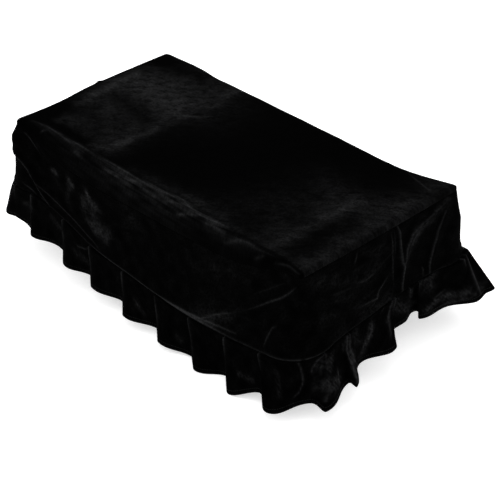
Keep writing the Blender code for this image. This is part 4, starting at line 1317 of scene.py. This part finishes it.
class Finish:
    """A material in the making: its Principled shader and the nodes that feed it."""

    def __init__(self, name):
        self.material = bpy.data.materials.new(name)
        self.material.use_nodes = True
        self.tree = self.material.node_tree
        self.shader = self.tree.nodes["Principled BSDF"]

    def fill(self, node, inputs):
        """Sets the node's inputs to values, or links them to the outputs of other nodes."""
        for key, value in inputs.items():
            if isinstance(value, bpy.types.NodeSocket):
                self.tree.links.new(value, node.inputs[key])
            else:
                node.inputs[key].default_value = value

    def add(self, kind, inputs=None, **settings):
        """New node of a kind, with its settings and inputs."""
        node = self.tree.nodes.new("ShaderNode" + kind)
        for key, value in settings.items():
            setattr(node, key, value)
        self.fill(node, inputs or {})
        return node

    def tones(self, factor, dark, pale):
        """Colour that runs from the dark tone to the pale one as the factor goes from 0 to 1."""
        inputs = {"Factor": factor, "A": (*dark, 1.0), "B": (*pale, 1.0)}
        return self.add("Mix", inputs, data_type="RGBA").outputs["Result"]

    def formula(self, operation, *values):
        """One step of arithmetic."""
        return self.add("Math", dict(enumerate(values)), operation=operation).outputs[0]

    def spread(self, value, low, high, least, most):
        """The value carried from the range low to high to the range least to most, and held there."""
        ranges = {"Value": value, "From Min": low, "From Max": high, "To Min": least, "To Max": most}
        return self.add("MapRange", ranges).outputs[0]

    def varied(self, noise, within, contrast):
        """Noise up to a distance within either side of its middle, carried to a contrast either side of one."""
        return self.spread(noise, 0.5 - within, 0.5 + within, 1 - contrast, 1 + contrast)

    def noise(self, place, scale, detail, **inputs):
        """Cloudy noise of a scale and detail at a place."""
        inputs |= {"Vector": place, "Scale": scale, "Detail": detail}
        return self.add("TexNoise", inputs).outputs[0]

    def bands(self, place, scale, direction, **inputs):
        """Waves in straight bands."""
        inputs |= {"Vector": place, "Scale": scale}
        return self.add("TexWave", inputs, wave_type="BANDS", bands_direction=direction).outputs["Fac"]

    def bump(self, strength, distance, height, **inputs):
        """Normal raised by a height."""
        inputs |= {"Strength": strength, "Distance": distance, "Height": height}
        return self.add("Bump", inputs).outputs[0]

    def finished(self, inputs):
        """The material, once its shader has these inputs."""
        self.fill(self.shader, inputs)
        return self.material


def velvet(name, brush_angle, mottle_contrast):
    """Black velvet pile with painted sheen and highlight: the nap sheen attribute times veins and mottling, plus
    the mottled painted highlight of the creases, in the base colour.

    The veins are noise stretched along the brush angle, and the mottling is finer noise on the cut. A narrow
    range of each is spread, so that it takes the nap from a third or so of itself to nearly twice. The finest
    noise raises the tufts, and the veins raise the crushed pile.
    """
    finish = Finish(name)
    cut = finish.add("UVMap", uv_map="cut").outputs[0]
    grain = {"Vector": cut, "Rotation": (0, 0, brush_angle), "Scale": (1.6, 1.0, 1.0)}
    along_brush = finish.add("Mapping", grain, vector_type="TEXTURE").outputs[0]
    veins = finish.noise(along_brush, 75.0, 5.0, Roughness=0.65, Distortion=0.4)
    mottle = finish.noise(cut, 200.0, 5.0, Roughness=0.7)
    tufts = finish.noise(cut, 1100.0, 2.0)
    nap_sheen = finish.add("Attribute", attribute_name="nap_sheen").outputs["Fac"]
    root = finish.add("Attribute", attribute_name="crease").outputs["Fac"]
    veined = finish.formula("MULTIPLY", nap_sheen, finish.varied(veins, within=0.18, contrast=0.70))
    mottled = finish.formula("MULTIPLY", veined, finish.varied(mottle, within=0.16, contrast=mottle_contrast))
    painted_crease_highlight = finish.formula("POWER", root, SHARPEN)
    lit = finish.formula("MULTIPLY", painted_crease_highlight, finish.varied(mottle, within=0.18, contrast=0.55))
    amount = finish.spread(finish.formula("ADD", mottled, lit), 0.0, FULL_PALE, 0.0, 1.0)
    tuft_bump = finish.bump(0.35, 0.0004, tufts)
    inputs = {
        # Base colour runs from the deep pile towards the pale tone with the painted sheen and painted highlight
        "Base Color": finish.tones(amount, DEEP_PILE, PAINTED_SHEEN_TONE),
        "Roughness": finish.spread(amount, 0.0, 1.0, 0.95, 0.75),
        "Specular IOR Level": 0.006,
        "Sheen Weight": 0.0015,
        "Sheen Roughness": 0.25,
        "Sheen Tint": (0.90, 0.93, 1.0, 1.0),
        "Normal": finish.bump(0.30, 0.0010, veins, Normal=tuft_bump),
    }
    return finish.finished(inputs)


def sewing_thread():
    """Matt black thread: plies wound round each other, as slanting bands about 0.6 mm apart."""
    finish = Finish("sewing thread")
    place = finish.add("TexCoord").outputs["Object"]
    plies = finish.bands(place, 620.0, "DIAGONAL", Distortion=0.6)
    inputs = {
        "Base Color": finish.tones(plies, *THREAD_TONES),
        "Roughness": 0.7,
        "Specular IOR Level": 0.15,
        "Normal": finish.bump(0.5, 0.0001, plies),
    }
    return finish.finished(inputs)


def woven_back():
    """Back of the velvet: a matt plain weave of black threads 1.4 mm apart, the higher of two sets of bands."""
    finish = Finish("woven back")
    cut = finish.add("UVMap", uv_map="cut").outputs[0]
    warp, weft = (finish.bands(cut, 225.0, way, Distortion=0.4, Detail=1.0) for way in "XY")
    weave = finish.formula("MAXIMUM", warp, weft)
    inputs = {
        "Base Color": finish.tones(weave, *WEAVE_TONES),
        "Roughness": 0.85,
        "Specular IOR Level": 0.2,
        "Normal": finish.bump(0.6, 0.0003, weave),
    }
    return finish.finished(inputs)


def pale_floor():
    """Matt white floor that glows a little, so that it stays pale under soft light."""
    inputs = {
        "Base Color": (0.90, 0.90, 0.90, 1.0),
        "Roughness": 0.9,
        "Emission Color": (1.0, 1.0, 1.0, 1.0),
        "Emission Strength": 0.55,
    }
    return Finish("pale floor").finished(inputs)


def stage_floor():
    """Floor just under the lowest hem, far wider than the view."""
    corners = np.array([(-1.0, -1.0), (1.0, -1.0), (1.0, 1.0), (-1.0, 1.0)]) * FLOOR_HALF
    points = np.column_stack([corners, np.full(4, cad_box[0].z - FLOOR_GAP)])
    floor = mesh_object("floor", points, [(0, 1, 2, 3)], [pale_floor()])


def place_object(obj, right, up, back, location):
    """Turns an object so that its own X, Y and Z run along right, up and back, and puts it in its place."""
    matrix = np.eye(4)
    matrix[:3] = np.column_stack([right, up, back, location])
    obj.matrix_world = Matrix(matrix.tolist())


def studio():
    """White surroundings and soft square lamps, each turned towards the cover."""
    world = bpy.data.worlds.new("studio")
    bpy.context.scene.world = world
    world.use_nodes = True
    background = world.node_tree.nodes["Background"]
    background.inputs["Color"].default_value = (1.0, 1.0, 1.0, 1.0)
    background.inputs["Strength"].default_value = SURROUND
    for row in LAMPS:
        lamp = bpy.data.lights.new(row.name, "AREA")
        lamp.shape = "SQUARE"
        lamp.size = row.side
        lamp.energy = row.power
        back = np.array(row.place) - np.array(LAMP_TARGET)
        back /= np.linalg.norm(back)
        right = np.cross([0.0, 0.0, 1.0], back)
        right /= np.linalg.norm(right)
        place_object(scene_object(row.name, lamp), right, np.cross(back, right), back, row.place)


def camera():
    """Camera at the photo's angle: its turn round the cover, its height over the floor and its slight roll."""
    turn, height, roll = (math.radians(angle) for angle in CAMERA_ANGLES)
    flat = math.cos(height)
    back = np.array([math.sin(turn) * flat, -math.cos(turn) * flat, math.sin(height)])
    level = np.array([math.cos(turn), math.sin(turn), 0.0])
    right = level * math.cos(roll) + np.cross(back, level) * math.sin(roll)
    data = bpy.data.cameras.new("camera")
    data.lens = CAMERA_LENS
    data.sensor_width = CAMERA_SENSOR
    data.clip_end = CAMERA_SIGHT
    obj = scene_object("camera", data)
    place_object(obj, right, np.cross(back, right), back, CAMERA_PLACE)
    bpy.context.scene.camera = obj


def main():
    """Builds the cover's three sheets, its hem stitching and the studio round them."""
    camera()
    studio()
    weave = woven_back()
    surface = flounce_surface()
    panel = top_panel([velvet("panel velvet", brush_angle=0.65, mottle_contrast=0.60), weave])
    band = side_band([velvet("band velvet", brush_angle=0.35, mottle_contrast=0.85), weave])
    skirt = flounce(surface, [velvet("flounce velvet", brush_angle=1.20, mottle_contrast=0.70), weave])
    stitches = hem_stitching(surface, sewing_thread())
    for piece, node, slot in (
        (panel, "top_panel", "velvet_panel"),
        (band, "side_band", "velvet_band"),
        (skirt, "flounce", "velvet_flounce"),
    ):
        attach(piece, "root")
        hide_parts(node)
    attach(stitches, "root")
    stage_floor()


main()
bpy.context.scene.view_settings.view_transform = "Standard"
